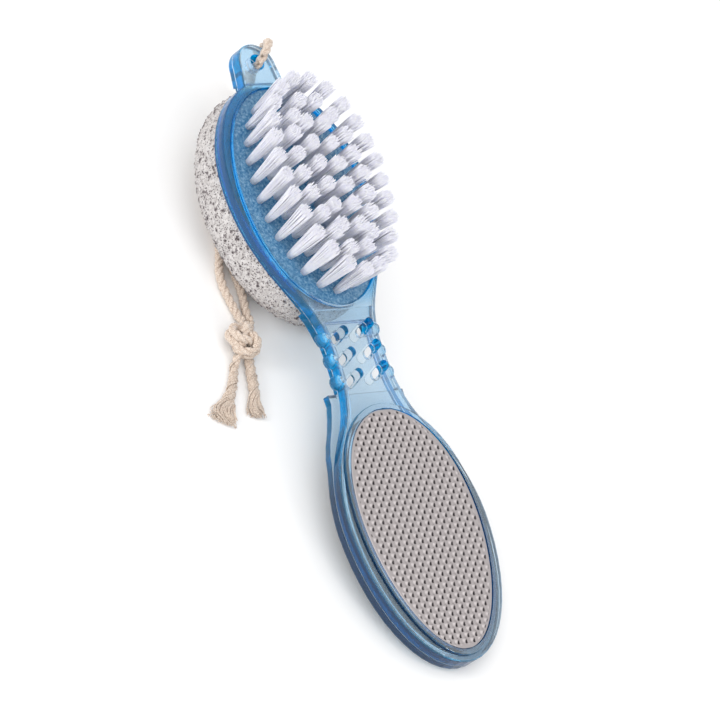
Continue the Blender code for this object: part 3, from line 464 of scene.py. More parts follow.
# %% Tails and their loose fibres
TAILS = {
    "cord_tail_left": np.array([
        (-0.0342, 0.0092, 0.0017, 0.0015), (-0.0358, 0.0060, 0.0016, 0.0015),
        (-0.0376, 0.0028, 0.0019, 0.0015), (-0.0397, -0.0003, 0.0020, 0.0015),
        (-0.0423, -0.0035, 0.0031, 0.0014), (-0.0455, -0.0077, 0.0049, 0.0012),
        (-0.0478, -0.0112, 0.0057, 0.0009)]),
    "cord_tail_right": np.array([
        (-0.0279, 0.0102, 0.0018, 0.0015), (-0.0284, 0.0082, 0.0019, 0.0016),
        (-0.0292, 0.0052, 0.0021, 0.0016), (-0.0303, 0.0012, 0.0021, 0.0016),
        (-0.0315, -0.0028, 0.0022, 0.0015), (-0.0329, -0.0070, 0.0030, 0.0012),
        (-0.0341, -0.0110, 0.0037, 0.0009)])}
TAIL_FIBRES = 170
TAIL_STEP = 0.0009
TAIL_SEED = 11
FIBRE_RADIUS = 0.00016
FIBRE_SIDES = 4
FIBRE_FILL = 0.88
YARN_BULGE = 0.16
LOOSE_FROM = 0.45
UNTWIST = 0.5
WANDER = 0.055
GATHER = 0.2
SETTLE = 0.25
FAN_LIMIT = 1.05
SHORTEST_FIBRE = 0.86


def tail_fibres(stations, seed):
    """Fibres of one tail: each keeps its own place in the oval section, and wanders near the end.

    A fibre's place is a point of the unit disc, a little further out at the three yarns, turned with
    the twist while the tail is whole. It is scaled by the section's half width and half height at
    each step. Past LOOSE_FROM of its length the tail opens: the twist slows down, the fibres walk at
    random across it and settle. At last each fibre is cut to its own length.
    """
    chance = np.random.default_rng(seed)
    middle = np.stack([stations[:, 0], stations[:, 1], stations[:, 3]], axis=1)
    route, length = smooth_route(middle, TAIL_STEP)
    share = np.linspace(0.0, 1.0, len(route))
    given = np.linspace(0.0, 1.0, len(stations))
    wide = np.interp(share, given, stations[:, 2])
    high = np.interp(share, given, stations[:, 3])
    along = np.gradient(route, axis=0)[:, :2]
    along /= np.linalg.norm(along, axis=1, keepdims=True)
    across = np.stack([-along[:, 1], along[:, 0], np.zeros(len(route))], axis=1)
    radius = np.sqrt(chance.random(TAIL_FIBRES)) * FIBRE_FILL
    start = chance.random(TAIL_FIBRES) * 2 * np.pi
    reach = (radius * (1 + YARN_BULGE * np.cos(YARNS * start)))[:, None]
    loose = np.clip((share - LOOSE_FROM) / (1 - LOOSE_FROM), 0.0, 1.0)[None]
    twist = 2 * np.pi * length * share[None] / TWIST_PITCH * (1 - UNTWIST * loose ** 2)
    turned = start[:, None] + twist
    wander = np.cumsum(chance.normal(0.0, WANDER, (TAIL_FIBRES, len(route))), axis=1) * loose
    x = reach * np.cos(turned) * (1 - GATHER * loose) + wander
    z = reach * np.sin(turned) * (1 - SETTLE * loose)
    x = np.clip(x, -FAN_LIMIT, FAN_LIMIT)
    paths = (route[None] + (x * wide[None])[..., None] * across[None]
             + (z * high[None])[..., None] * np.array([0.0, 0.0, 1.0]))
    paths[..., 2] = np.maximum(paths[..., 2], FIBRE_RADIUS)
    cut = chance.uniform(SHORTEST_FIBRE, 1.0, TAIL_FIBRES)
    steps = paths.shape[1]
    wanted = cut[:, None] * np.arange(steps)[None]
    low = np.clip(wanted.astype(int), 0, steps - 2)
    part = (wanted - low)[..., None]
    pick = np.arange(TAIL_FIBRES)[:, None]
    return paths[pick, low] * (1 - part) + paths[pick, low + 1] * part


tails = [tube_stack(name + "_fibres", tail_fibres(stations, seed), FIBRE_RADIUS, FIBRE_SIDES)
         for seed, (name, stations) in enumerate(TAILS.items(), start=TAIL_SEED)]
print("tails: %d fibres each" % TAIL_FIBRES)

# %% [markdown]
# The cotton is undyed: warm beige, with fine fibres that catch the light. The fibres are a fine
# noise that gives a little colour, and a finer one that gives a bump. A sheen stands for the fuzz.

# %% Cotton finish
COTTON_COLOURS = [(0.34, (0.42, 0.30, 0.23)), (0.50, (0.70, 0.58, 0.48)),
                  (0.70, (0.88, 0.78, 0.69))]
cotton = Finish("twisted_cotton", (0.70, 0.58, 0.48), roughness=0.9)
cotton_fleck = cotton.noise(2600.0, detail=5.0, roughness=0.6)
cotton.drive("Base Color", cotton.ramp(cotton_fleck, COTTON_COLOURS))
cotton.bump(cotton.noise(4200.0, detail=3.0), height=0.00012, strength=0.7)
cotton.set("Sheen Weight", 0.35)
cotton.set("Sheen Roughness", 0.5)
cotton.give(cord_loop, *knot_pieces, *tails)
for piece in (cord_loop, *knot_pieces, *tails):
    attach(piece, "root")
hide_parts("cord_loop")
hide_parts("cord_knot")
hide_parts("cord_tail_left")
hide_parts("cord_tail_right")

# %% [markdown]
# ## The nylon tufts
#
# The brush has 55 tufts: an outer oval ring of 25, an inner ring of 18, and two straight columns of
# six in the middle. On the real brush each tuft is a bundle of white nylon filaments, folded over
# a staple and driven into a hole of the plate, so it is tight at the root and opens towards its cut
# end. The places are found first: on the rings by the length walked along them, because equal
# angles would crowd the tufts at the two ends of an oval.

# %% Tuft places
BED_Y = 0.0540
OUTER_RING = (0.0200, 0.0346)
OUTER_TUFTS, OUTER_ARCS, OUTER_START = 25, 5, 0.6
INNER_RING = (0.0122, 0.0272)
INNER_TUFTS, INNER_ARCS, INNER_START = 18, 6, 0.5
RING_EGG = 0.05
RING_READINGS = 241
COLUMN_TUFTS = 6
COLUMN_X = 0.0040
COLUMN_PITCH = 0.00728
PLATE_TOP = -0.0003
TUFT_SINK = 0.0009
TUFT_HEIGHT = 0.0171
TUFT_ROOT_RADIUS = 0.00120
TUFT_TIP_RADIUS = 0.00278
LEAN = (0.0012, 0.0010)
FAN = (0.0007, 0.0006)
SKEW_Y = -0.0010


def ring_arcs(ring, tufts, arcs, start_share):
    """Places of a ring's tufts, equally spaced along it, in groups of one arc each.

    From the top of the ring, x is the sine and y the cosine of the angle, and the ring is a little
    wider at the top. The length walked along it is added up, and each tuft's length is looked up.
    The first tuft stands at the given share of one spacing.
    """
    angle = np.linspace(0.0, 2 * np.pi, RING_READINGS)
    x = ring[0] * (1 + RING_EGG * np.cos(angle)) * np.sin(angle)
    y = BED_Y + ring[1] * np.cos(angle)
    walked = np.concatenate([[0.0], np.cumsum(np.hypot(np.diff(x), np.diff(y)))])
    wanted = walked[-1] / tufts * (np.arange(tufts) + start_share)
    places = np.stack([np.interp(wanted, walked, x), np.interp(wanted, walked, y)], axis=-1)
    return np.split(places, [arc * tufts // arcs for arc in range(1, arcs)])


def column(side):
    """Places of one straight column of tufts, equally spaced about the middle of the bed."""
    y = BED_Y + COLUMN_PITCH * (np.arange(COLUMN_TUFTS) - (COLUMN_TUFTS - 1) / 2)
    return np.stack([np.full(COLUMN_TUFTS, side * COLUMN_X), y], axis=-1)


tuft_groups = [*ring_arcs(OUTER_RING, OUTER_TUFTS, OUTER_ARCS, OUTER_START),
               *ring_arcs(INNER_RING, INNER_TUFTS, INNER_ARCS, INNER_START),
               column(-1), column(1)]
print("tufts:", sum(len(group) for group in tuft_groups))

# %% [markdown]
# The tufts lean a little to one side and outwards. Filaments could be a hair system, but hair has
# no faces to hand on with the part. Here each one is a thin four-sided tube that leans from its
# root on, and more and more towards its tip. All filaments of one arc are one array and one mesh.

# %% Filaments of one arc
FILAMENTS = 96
FILAMENT_RADIUS = 0.00019
FILAMENT_SIDES = 4
FILAMENT_STEPS = 5
TUFT_SEED = 500
GOLDEN_ANGLE = 2.39996
TURN_SPREAD = 6.28
TIP_RADIUS_SPREAD = 0.04
TIP_SPREAD = 0.00020
LEAN_SPREAD = 0.00022
CUT_SPREAD = 0.05
OPENING_POWER = 0.8
LEAN_BEND = 0.4


def filament_paths(places, seed):
    """Filaments of an arc's tufts, on the flat paddle.

    A filament starts at a point of the tuft's round root and ends at the same point of the wider
    tip, give or take a little. The points fill the disc on a golden-angle spiral, turned at random
    for each tuft. The tuft opens with the height to the power OPENING_POWER. Its lean is a share
    1 - LEAN_BEND of the height and a share LEAN_BEND of the height's square.
    """
    chance = np.random.default_rng(seed)
    tufts = len(places)
    radius = np.sqrt((np.arange(FILAMENTS) + 0.5) / FILAMENTS)[None] * np.ones((tufts, 1))
    angle = np.arange(FILAMENTS)[None] * GOLDEN_ANGLE + chance.random((tufts, 1)) * TURN_SPREAD
    disc = np.stack([radius * np.cos(angle), radius * np.sin(angle)], axis=-1)
    roots = disc * (TUFT_ROOT_RADIUS - FILAMENT_RADIUS)
    wider = 1 + chance.normal(0.0, TIP_RADIUS_SPREAD, (tufts, 1, 1))
    tip_radius = (TUFT_TIP_RADIUS - FILAMENT_RADIUS) * wider
    tips = disc * tip_radius + chance.normal(0.0, TIP_SPREAD, disc.shape)
    share_x = places[:, 0] / OUTER_RING[0]
    share_y = (places[:, 1] - BED_Y) / OUTER_RING[1]
    lean = np.stack([LEAN[0] + FAN[0] * share_x,
                     LEAN[1] + FAN[1] * share_y + SKEW_Y * share_x], axis=-1)
    lean = (lean + chance.normal(0.0, LEAN_SPREAD, lean.shape))[:, None, None, :]
    height = TUFT_HEIGHT * (1 - CUT_SPREAD * chance.random((tufts, FILAMENTS)))
    share = np.linspace(0.0, 1.0, FILAMENT_STEPS)[None, None, :, None]
    opened = share ** OPENING_POWER
    flat = (places[:, None, None, :]
            + roots[:, :, None, :] * (1 - opened) + tips[:, :, None, :] * opened
            + lean * ((1 - LEAN_BEND) * share + LEAN_BEND * share ** 2))
    rise = PLATE_TOP - TUFT_SINK + (height[..., None] + TUFT_SINK) * share[..., 0]
    paths = np.concatenate([flat, rise[..., None]], axis=-1)
    return lay_down(paths.reshape(tufts * FILAMENTS, FILAMENT_STEPS, 3))


tuft_pieces = []
for number, places in enumerate(tuft_groups, start=1):
    piece = tube_stack("nylon_tufts_%02d" % number, filament_paths(places, TUFT_SEED + number),
                       FILAMENT_RADIUS, FILAMENT_SIDES)
    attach(piece, "root")
    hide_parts("bristle_arc_%02d" % number)
    tuft_pieces.append(piece)
print("filaments:", sum(len(group) for group in tuft_groups) * FILAMENTS)

# %% [markdown]
# White nylon lets light through, so a tuft glows softly and its shadow side turns to lavender
# rather than grey. A little subsurface scattering with a cool tint gives that.

# %% Nylon finish
NYLON_COLOURS = [(0.35, (0.86, 0.86, 0.98)), (0.65, (0.95, 0.95, 1.0))]
nylon = Finish("white_nylon", (0.92, 0.92, 1.0), roughness=0.38)
nylon.set("Subsurface Weight", 0.25)
nylon.set("Subsurface Radius", (0.7, 0.7, 1.0))
nylon.set("Subsurface Scale", 0.0006)
nylon.drive("Base Color", nylon.ramp(nylon.noise(900.0, detail=2.0), NYLON_COLOURS))
nylon.give(*tuft_pieces)

# %% [markdown]
# ## The plate that holds the tufts
#
# The tufts stand in an oval plate of the same clear blue plastic, set in a bed of the front shell.
# The frame's solid has channels for the strips under its tufts, which the real plate doesn't have,
# so the plate is modelled again as one smooth oval disc with a rounded rim.

# %% Tuft plate
PLATE_HALF_WIDTH = 0.0265
PLATE_HALF_LENGTH = 0.0397
PLATE_BOTTOM = -0.0023
PLATE_EDGE = 0.0003
PLATE_STEPS = 96
EDGE_STEPS = 5
NEARLY_ALL = 0.999


def plate_disc():
    """The plate's flat oval with a rounded upper rim.

    Going round, x is the cosine and y the sine of the angle. The section starts near the middle of
    the underside, runs out to the rim, climbs it, turns over a quarter round and runs back flat.
    """
    angle = 2 * np.pi * np.arange(PLATE_STEPS)[None] / PLATE_STEPS
    turn = np.linspace(0.0, np.pi / 2, EDGE_STEPS)
    inset = np.concatenate([[PLATE_HALF_WIDTH * NEARLY_ALL, 0.0, 0.0],
                            PLATE_EDGE * (1 - np.cos(turn)), [PLATE_HALF_WIDTH * NEARLY_ALL]])
    height = np.concatenate([np.full(3, PLATE_BOTTOM),
                             PLATE_TOP - PLATE_EDGE + PLATE_EDGE * np.sin(turn), [PLATE_TOP]])
    share = 1 - inset[:, None] / PLATE_HALF_WIDTH
    x = PLATE_HALF_WIDTH * share * np.cos(angle)
    y = BED_Y + PLATE_HALF_LENGTH * share * np.sin(angle)
    z = height[:, None] * np.ones_like(x)
    points = lay_down(np.stack([x, y, z], axis=-1))
    rows = len(inset)
    around = np.arange(PLATE_STEPS)
    caps = [around[::-1][None], (rows - 1) * PLATE_STEPS + around[None]]
    return new_piece("tuft_plate", points, [grid_faces(rows, PLATE_STEPS, True), *caps])


tuft_plate = plate_disc()
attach(tuft_plate, "root")
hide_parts("brush_plate")
print("tuft plate faces:", len(tuft_plate.data.polygons))

# %% [markdown]
# ## Clear blue plastic
#
# The shells are clear styrene with a blue dye. Dyed clear plastic looks pale where one looks
# straight down on it, and deep blue along its side walls, where light has come a long way through
# it. The dye is in the volume: the inside takes out red first, green next and blue hardly at all.
# The moulding is also a little cloudy, so the surface scatters part of the light. Its colour is
# painted shade for the depth of the dye: pale on the faces that look out of the front or the back,
# deep on the walls, which the surface's own direction tells. The tub that holds the brush is
# painted deeper still, as the shade of its double wall, and the walls of the file head are painted
# nearly navy, as the dark of the black emery pad behind them. Where the tub and the file head lie
# is told by the share of the way from the file end to the lug.

# %% Clear blue finish
PLASTIC_IOR = 1.50
FILE_END_Y = -0.115
PADDLE_SPAN = 0.215
# Painted shade: these ramps make the walls deep blue, the tub deeper and the file head's walls navy.
FACING_PAINTED_DEPTH = [(0.15, (0.0, 0.42, 0.86)), (0.60, (0.05, 0.56, 0.94)),
                  (0.84, (0.42, 0.79, 0.99)), (0.96, (0.88, 0.95, 1.0))]
TUB_PAINTED_DEPTH = [(0.60, grey(1.0)), (0.65, (0.18, 0.72, 0.98)),
            (0.967, (0.18, 0.72, 0.98)), (0.985, grey(1.0))]
FILE_WALL_PAINTED_SHADE = [(0.20, (0.10, 0.22, 0.30)), (0.72, grey(1.0))]
FILE_HEAD_SHADE_SHARE = [(0.30, grey(1.0)), (0.42, grey(0.0))]
CLEARNESS = [(0.10, grey(0.80)), (0.90, grey(0.90))]
DYE_COLOUR = (0.14, 0.70, 0.99, 1.0)
DYE_DENSITY = 70.0
clear_blue = Finish("clear_blue_plastic", (0.38, 0.64, 0.88), roughness=0.05)
clear_blue.set("IOR", PLASTIC_IOR)
surface_direction = clear_blue.node("ShaderNodeNewGeometry").outputs["Normal"]
absolute = clear_blue.node("ShaderNodeMath", operation="ABSOLUTE")
clear_blue.link(clear_blue.part_along(surface_direction, face_normal), absolute.inputs[0])
facing = absolute.outputs["Value"]
paddle_y = paddle.to_3x3().col[1]
file_end = paddle.translation.dot(paddle_y) + FILE_END_Y
span = clear_blue.node("ShaderNodeMapRange")
span.inputs["From Min"].default_value = file_end
span.inputs["From Max"].default_value = file_end + PADDLE_SPAN
clear_blue.link(clear_blue.part_along(clear_blue.place(), paddle_y), span.inputs["Value"])
lengthwise = span.outputs["Result"]
# Painted shade: deep blue by the surface's direction, and deeper still on the tub.
blue = clear_blue.multiply(clear_blue.ramp(facing, FACING_PAINTED_DEPTH),
                           clear_blue.ramp(lengthwise, TUB_PAINTED_DEPTH))
# Painted shade: the file head's walls are darkened to navy, as the emery pad seen behind them.
blue = clear_blue.multiply(blue, clear_blue.ramp(facing, FILE_WALL_PAINTED_SHADE),
                           clear_blue.ramp(lengthwise, FILE_HEAD_SHADE_SHARE))
clear_blue.drive("Base Color", blue)
clear_blue.drive("Transmission Weight", clear_blue.ramp(facing, CLEARNESS))
dye = clear_blue.node("ShaderNodeVolumeAbsorption")
dye.inputs["Color"].default_value = DYE_COLOUR
dye.inputs["Density"].default_value = DYE_DENSITY
clear_blue.link(dye.outputs["Volume"], clear_blue.tree.nodes["Material Output"].inputs["Volume"])
clear_blue.give(bpy.data.objects["front_shell"], bpy.data.objects["back_shell"])

# %% [markdown]
# The tuft plate is the same plastic, but one looks at it through nothing and against the stone. The
# staples and holes below each tuft make it cloudy, so it lets less light through and shows a soft
# mottled blue.

# %% Cloudy blue finish
MOTTLED_BLUES = [(0.36, (0.04, 0.18, 0.38)), (0.52, (0.12, 0.33, 0.56)),
                 (0.68, (0.34, 0.58, 0.78))]
cloudy_blue = Finish("cloudy_blue_plastic", (0.16, 0.40, 0.70), roughness=0.16)
cloudy_blue.set("Transmission Weight", 0.30)
cloudy_blue.set("IOR", PLASTIC_IOR)
mottle = cloudy_blue.noise(1000.0, detail=5.0, roughness=0.7)
cloudy_blue.drive("Base Color", cloudy_blue.ramp(mottle, MOTTLED_BLUES))
cloudy_blue.bump(cloudy_blue.noise(700.0, detail=3.0), height=0.0001, strength=0.4)
cloudy_blue.give(tuft_plate)

# %% [markdown]
# ## The steel file
#
# The file is a thin oval of stainless steel, punched from behind with staggered rows of small
# bumps. Each bump is a dome with a sharp little crater where the punch broke through, and that is
# what does the filing. The plate is a grid over the oval whose height is worked out from the
# distance to the nearest bump of the staggered pattern.

# %% Punched steel plate
FILE_Y = -0.0662
FILE_HALF_WIDTH = 0.0250
FILE_HALF_LENGTH = 0.0423
FILE_EGG = 0.11
FILE_BOTTOM = 0.0004
FILE_TOP = 0.0013
BUMP_PITCH_X = 0.00347
BUMP_PITCH_Y = 0.00197
BUMP_RADIUS = 0.00082
BUMP_HEIGHT = 0.00055
CRATER_RADIUS = 0.00056
CRATER_OFFSET = (0.00040, -0.00056)
CRATER_DEPTH = 0.9
FILE_ROWS = 416
FILE_COLUMNS = 232
END_GAP = 0.02
BARE_RIM = 0.0010
BUMP_FADE = 0.0008
RIM_WIDTH = 0.0004
RIM_FALL = 0.0003


def bump_pattern(x, y):
    """Height of the punched pattern at each point, and how much of it lies in a crater, which the
    finish paints as shade.

    The bumps stand on a diagonal grid: every second row is moved by half a pitch. A bump is a
    smooth dome, the exponential of minus the cube of the distance from its middle in radii. The
    crater where the punch broke through lies to one side of the middle. It falls off in the same
    way with the fourth power, and takes CRATER_DEPTH of a bump's height away.
    """
    dome = np.zeros(x.shape)
    crater = np.zeros(x.shape)
    for shift in (0, 1):
        row = np.round((y / BUMP_PITCH_Y - shift) / 2) * 2 + shift
        column = np.round(x / BUMP_PITCH_X - shift / 2) + shift / 2
        east = x - column * BUMP_PITCH_X
        north = y - row * BUMP_PITCH_Y
        dome = np.maximum(dome, np.exp(-(np.hypot(east, north) / BUMP_RADIUS) ** 3))
        pit = np.hypot(east - CRATER_OFFSET[0], north - CRATER_OFFSET[1])
        crater = np.maximum(crater, np.exp(-(pit / CRATER_RADIUS) ** 4))
    return BUMP_HEIGHT * (dome - CRATER_DEPTH * crater), crater


def punched_plate():
    """The oval as a grid: latitude along the plate, share of the width across it, closed below.

    The bumps fade in over BUMP_FADE behind a bare rim, and at the edge the rim rolls down by
    RIM_FALL, with the square of how far a point lies within RIM_WIDTH of it.
    """
    latitude = np.linspace(-np.pi / 2 + END_GAP, np.pi / 2 - END_GAP, FILE_ROWS)[:, None]
    share = np.linspace(-1.0, 1.0, FILE_COLUMNS)[None]
    x = FILE_HALF_WIDTH * np.cos(latitude) * (1 + FILE_EGG * np.sin(latitude)) * share
    y = FILE_HALF_LENGTH * np.sin(latitude) * np.ones_like(share)
    rim = np.minimum((1 - np.abs(share)) * FILE_HALF_WIDTH * np.cos(latitude),
                     (1 - np.abs(np.sin(latitude))) * FILE_HALF_LENGTH)
    fade = np.clip((rim - BARE_RIM) / BUMP_FADE, 0.0, 1.0)
    fall = np.clip(1 - rim / RIM_WIDTH, 0.0, 1.0) ** 2 * RIM_FALL
    height, crater = bump_pattern(x, y)
    z = FILE_TOP + height * fade - fall
    top = np.stack([x, y + FILE_Y, z], axis=-1)
    index = np.arange(FILE_ROWS * FILE_COLUMNS).reshape(FILE_ROWS, FILE_COLUMNS)
    border = np.concatenate([index[0, :-1], index[:-1, -1], index[-1, :0:-1], index[:0:-1, 0]])
    skirt = top.reshape(-1, 3)[border].copy()
    skirt[:, 2] = FILE_BOTTOM
    points = np.vstack([top.reshape(-1, 3), skirt])
    low = index.size + np.arange(len(border))
    walls = np.stack([border, low, np.roll(low, -1), np.roll(border, -1)], axis=-1)
    faces = [grid_faces(FILE_ROWS, FILE_COLUMNS, False), walls, low[::-1][None]]
    plate = new_piece("punched_steel", lay_down(points), faces)
    # The crater share goes to the finish, which paints shade into the craters.
    carry(plate, "crater", np.append((crater * fade).ravel(), np.zeros(len(border))))
    return plate


steel_file = punched_plate()
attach(steel_file, "root")
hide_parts("file_plate")
print("steel faces:", len(steel_file.data.polygons))

# %% [markdown]
# The steel is bright but not a mirror. A fine unevenness and a few smudges break its reflections,
# and the craters are painted dark, as painted shade for the shadow one would see through them.

# %% Steel finish
# Painted shade: the crater share darkens the steel to near black in each crater.
CRATER_SHADE_COLOURS = [(0.03, (0.50, 0.46, 0.46)), (0.30, (0.18, 0.16, 0.16)),
                  (0.80, (0.04, 0.035, 0.04))]
SMUDGES = [(0.3, grey(0.28)), (0.7, grey(0.42))]
steel = Finish("stamped_steel", (0.52, 0.48, 0.48), roughness=0.34, metallic=1.0)
steel.drive("Base Color", steel.ramp(steel.attribute("crater"), CRATER_SHADE_COLOURS))
steel.drive("Roughness", steel.ramp(steel.noise(60.0, detail=3.0), SMUDGES))
steel.bump(steel.noise(1500.0, detail=2.0), height=0.00003, strength=0.3)
steel.give(steel_file)

# %% [markdown]
# ## The pumice stone
#
# Foot stones of this kind are a foamed block, cut as a rounded oval dome: a light warm grey with
# open pores of all sizes. The dome is a superellipse in section. Large pores are real pits of the
# mesh, each pushed inwards round a scattered point, and the finish paints shade into them and adds
# the small ones as a bump with painted shade. The dome is worn a little flat where it meets the
# table.

# %% Pumice dome
STONE_Y = 0.05545
STONE_HALF_WIDTH = 0.0280
STONE_HALF_LENGTH = 0.03995
STONE_SEAT = -0.0051
STONE_DEPTH = 0.0209
STONE_SQUARENESS = 4.2
STONE_SLOPE = 0.036
STONE_SWELL = 0.058
STONE_RINGS = 160
STONE_STEPS = 610
PORES = 4600
PORE_SEED = 77
SMALLEST_PORE = 0.00022
PORE_SPREAD = 0.00036
PORE_RARITY = 2.6
PORE_DEPTH = 0.9
FULL_SHADE_DEPTH = 0.0005


def stone_surface():
    """The dome's points: for an azimuth and an elevation, the direction's superellipse length.

    The length is the sum of the flat part and the rise, each to the power of the squareness, to the
    power of minus one over it. Half-way down, the dome swells out, and its depth grows towards the
    lug.
    """
    azimuth = 2 * np.pi * np.arange(STONE_STEPS)[None] / STONE_STEPS
    elevation = np.linspace(0.0, np.pi / 2, STONE_RINGS)[:, None]
    flat = np.cos(elevation)
    rise = np.sin(elevation)
    size = (flat ** STONE_SQUARENESS + rise ** STONE_SQUARENESS) ** (-1 / STONE_SQUARENESS)
    share = rise * size
    wide = 1 + STONE_SWELL * 4 * share * (1 - share)
    east = flat * np.cos(azimuth) * size
    north = flat * np.sin(azimuth) * size
    down = STONE_DEPTH * (1 + STONE_SLOPE * north) * share
    return np.stack([STONE_HALF_WIDTH * east * wide, STONE_Y + STONE_HALF_LENGTH * north * wide,
                     STONE_SEAT - down], axis=-1)


def surface_normals(points):
    """Normals of a round grid, from the cross product of its two directions."""
    down = np.gradient(points, axis=0)
    wrapped = np.concatenate([points[:, -1:], points, points[:, :1]], axis=1)
    around = np.gradient(wrapped, axis=1)[:, 1:-1]
    normal = np.cross(around, down)
    return normal / np.maximum(np.linalg.norm(normal, axis=2, keepdims=True), 1e-9)


def pore_depths(points):
    """How deep each point lies in the pores.

    A pore is a round pit about a scattered point of the surface: its depth is a share of its
    radius, times the square root of one less the squared distance in radii. A point is drawn the
    more often the more area lies about it, and large pores are rarer than small ones. The points
    are sorted by Y, so that each pore is held only against a band as wide as itself.
    """
    chance = np.random.default_rng(PORE_SEED)
    flat = points.reshape(-1, 3)
    patch = np.cross(np.gradient(points, axis=0), np.gradient(points, axis=1))
    area = np.linalg.norm(patch, axis=2).ravel()
    sites = chance.choice(len(flat), PORES, p=area / area.sum())
    radii = SMALLEST_PORE + PORE_SPREAD * chance.random(PORES) ** PORE_RARITY
    depth = np.zeros(len(flat))
    order = np.argsort(flat[:, 1])
    ordered = flat[order]
    for site, radius in zip(sites, radii):
        low, high = np.searchsorted(ordered[:, 1], [flat[site, 1] - radius, flat[site, 1] + radius])
        near = np.sum((ordered[low:high] - flat[site]) ** 2, axis=1) / radius ** 2
        pit = PORE_DEPTH * radius * np.sqrt(np.clip(1 - near, 0.0, 1.0))
        chosen = order[low:high]
        depth[chosen] = np.maximum(depth[chosen], pit)
    return depth.reshape(points.shape[:2])


stone_points = stone_surface()
stone_pits = pore_depths(stone_points)
stone_pits[0] = 0.0
stone_pits[-1] = stone_pits[-1].mean()
pitted = stone_points - surface_normals(stone_points) * stone_pits[..., None]
pitted_points = np.vstack([pitted[:-1].reshape(-1, 3), pitted[-1].mean(axis=0)])
first_ring = np.arange(STONE_STEPS)
last_ring = (STONE_RINGS - 2) * STONE_STEPS + first_ring
crown = np.full(STONE_STEPS, len(pitted_points) - 1)
crown_faces = np.stack([last_ring, np.roll(last_ring, -1), crown], axis=-1)
stone_laid = lay_down(pitted_points)
lowest = stone_laid[:, 2].min()
print("lowest point of the stone: %.2f mm, worn flat at the table" % (lowest * 1000))
stone_laid[:, 2] = np.maximum(stone_laid[:, 2], 0.0)
stone = new_piece("pumice_block", stone_laid, [grid_faces(STONE_RINGS - 1, STONE_STEPS, True),
                                               crown_faces, first_ring[::-1][None]])
# The pit depth is carried to the finish, which paints shade into the pits.
pit_shade = np.append(stone_pits[:-1].ravel(), stone_pits[-1, 0])
carry(stone, "pore", np.clip(pit_shade / FULL_SHADE_DEPTH, 0.0, 1.0))
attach(stone, "root")
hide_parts("pumice_stone")
print("stone faces:", len(stone.data.polygons))

# %% [markdown]
# Most pores of a pumice stone are too small to be pits of a mesh. The finish has two sizes of them,
# made of the cells about scattered points, each painted dark at its middle as the shade in a pore.
# The pits of the mesh get painted shade too, by the depth that the mesh carries at its points, since
# little light gets into them.

# %% Pumice finish
STONE_COLOURS = [(0.35, (0.46, 0.43, 0.42)), (0.5, (0.61, 0.58, 0.57)),
                 (0.68, (0.74, 0.71, 0.70))]
# Painted shade: the pits of the mesh and the small pores are darkened as the shade inside them.
PIT_PAINTED_SHADE = [(0.15, grey(1.0)), (0.55, (0.40, 0.37, 0.38)), (0.95, (0.12, 0.11, 0.12))]
SMALL_PORE_PAINTED_SHADE = [(0.21, (0.12, 0.10, 0.11)), (0.31, grey(1.0))]
FINE_PORE_PAINTED_SHADE = [(0.16, (0.50, 0.47, 0.48)), (0.32, grey(1.0))]
pumice = Finish("pumice", (0.74, 0.71, 0.69), roughness=0.95)
body_colour = pumice.ramp(pumice.noise(700.0, detail=6.0, roughness=0.7), STONE_COLOURS)
small_pore_shade = pumice.ramp(pumice.cells(1300.0), SMALL_PORE_PAINTED_SHADE)
fine_pore_shade = pumice.ramp(pumice.cells(2600.0), FINE_PORE_PAINTED_SHADE)
pore_shaded_colour = pumice.multiply(body_colour, pumice.multiply(small_pore_shade, fine_pore_shade))
pit_shade_colour = pumice.ramp(pumice.attribute("pore"), PIT_PAINTED_SHADE)
pumice.drive("Base Color", pumice.multiply(pore_shaded_colour, pit_shade_colour))
pumice.bump(pumice.cells(1300.0), height=0.0003, strength=0.8)
pumice.bump(pumice.noise(2200.0, detail=4.0, roughness=0.7), height=0.00012, strength=0.6)
pumice.give(stone)

# %% [markdown]
# ## Emery, foam and adhesive
#
# The back of the file head carries a sheet of coarse black emery on a foam pad. Only its dark edge
# shows through the clear rim from above. The grit is a field of tiny sharp cells, a little lighter
# at their middles. Below the steel lies a film of adhesive.

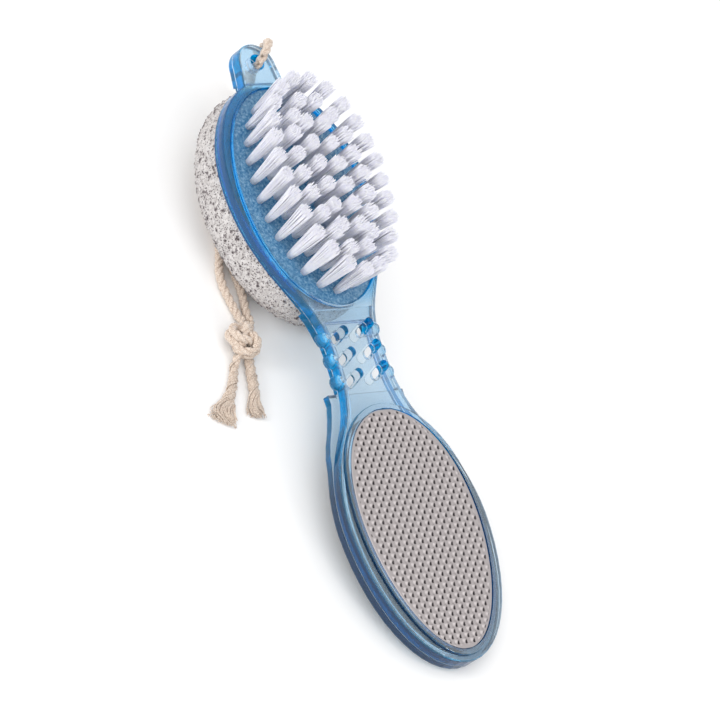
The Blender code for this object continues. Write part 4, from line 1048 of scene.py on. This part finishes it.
# %% Emery and its backing
GRIT_COLOURS = [(0.0, (0.16, 0.16, 0.17)), (0.25, (0.05, 0.05, 0.055)),
                (1.0, (0.02, 0.02, 0.022))]
FOAM_COLOURS = [(0.4, (0.06, 0.06, 0.07)), (0.6, (0.13, 0.13, 0.14))]
ADHESIVE_COLOURS = [(0.3, (0.74, 0.73, 0.68)), (0.7, (0.86, 0.85, 0.80))]
emery = Finish("emery_grit", (0.045, 0.045, 0.05), roughness=0.85)
grit = emery.cells(3200.0)
emery.drive("Base Color", emery.ramp(grit, GRIT_COLOURS))
emery.bump(grit, height=0.00025)
emery.give(bpy.data.objects["emery_sheet"])
foam = Finish("foam_pad", (0.09, 0.09, 0.10), roughness=0.9)
foam.drive("Base Color", foam.ramp(foam.noise(1600.0), FOAM_COLOURS))
foam.bump(foam.noise(1600.0), height=0.0001, strength=0.5)
foam.give(bpy.data.objects["emery_foam"])
adhesive = Finish("adhesive_film", (0.80, 0.79, 0.74), roughness=0.55)
adhesive.drive("Base Color", adhesive.ramp(adhesive.noise(150.0), ADHESIVE_COLOURS))
adhesive.give(bpy.data.objects["file_adhesive"])

# %% [markdown]
# ## Floor and light
#
# The photograph has a white ground. The floor is a plain white sheet, lit so that it renders just
# about white and still takes the soft shadow of the scrubber. A large lamp above lights the scene
# evenly, and two smaller ones, at the left and on the near side, give the plastic its long soft
# reflections.

# %% Floor
FLOOR_HALF = 3.0
corners = FLOOR_HALF * np.array([(-1, -1, 0), (1, -1, 0), (1, 1, 0), (-1, 1, 0)])
floor = new_piece("floor", corners, [np.arange(4)[None]], smooth=False)
floor_paint = Finish("white_paper", (0.97, 0.97, 0.97), roughness=0.9)
floor_paint.give(floor)

# %% [markdown]
# Each lamp has a place, a size and a power. The world adds an even white light from all sides.

# %% Lamps and world
LAMPS = [("top_lamp", (-0.5, -0.3, 1.6), 2.2, 9.0),
         ("left_lamp", (-1.6, 0.5, 0.8), 0.45, 7.0),
         ("near_lamp", (0.3, -1.7, 0.9), 0.45, 3.5)]
WORLD_LIGHT = 0.92


def soft_lamp(name, place, size, power):
    """A square area lamp that faces the scrubber."""
    data = bpy.data.lights.new(name, "AREA")
    data.shape = "SQUARE"
    data.size = size
    data.energy = power
    lamp = bpy.data.objects.new(name, data)
    bpy.context.scene.collection.objects.link(lamp)
    lamp.location = place
    lamp.rotation_euler = (-Vector(place)).to_track_quat("-Z", "Y").to_euler()


for lamp_values in LAMPS:
    soft_lamp(*lamp_values)
world = bpy.data.worlds.new("studio")
bpy.context.scene.world = world
world.use_nodes = True
background = world.node_tree.nodes["Background"]
background.inputs["Color"].default_value = (1.0, 1.0, 1.0, 1.0)
background.inputs["Strength"].default_value = WORLD_LIGHT
bpy.context.scene.view_settings.view_transform = "Standard"
print("lamps:", len(LAMPS))
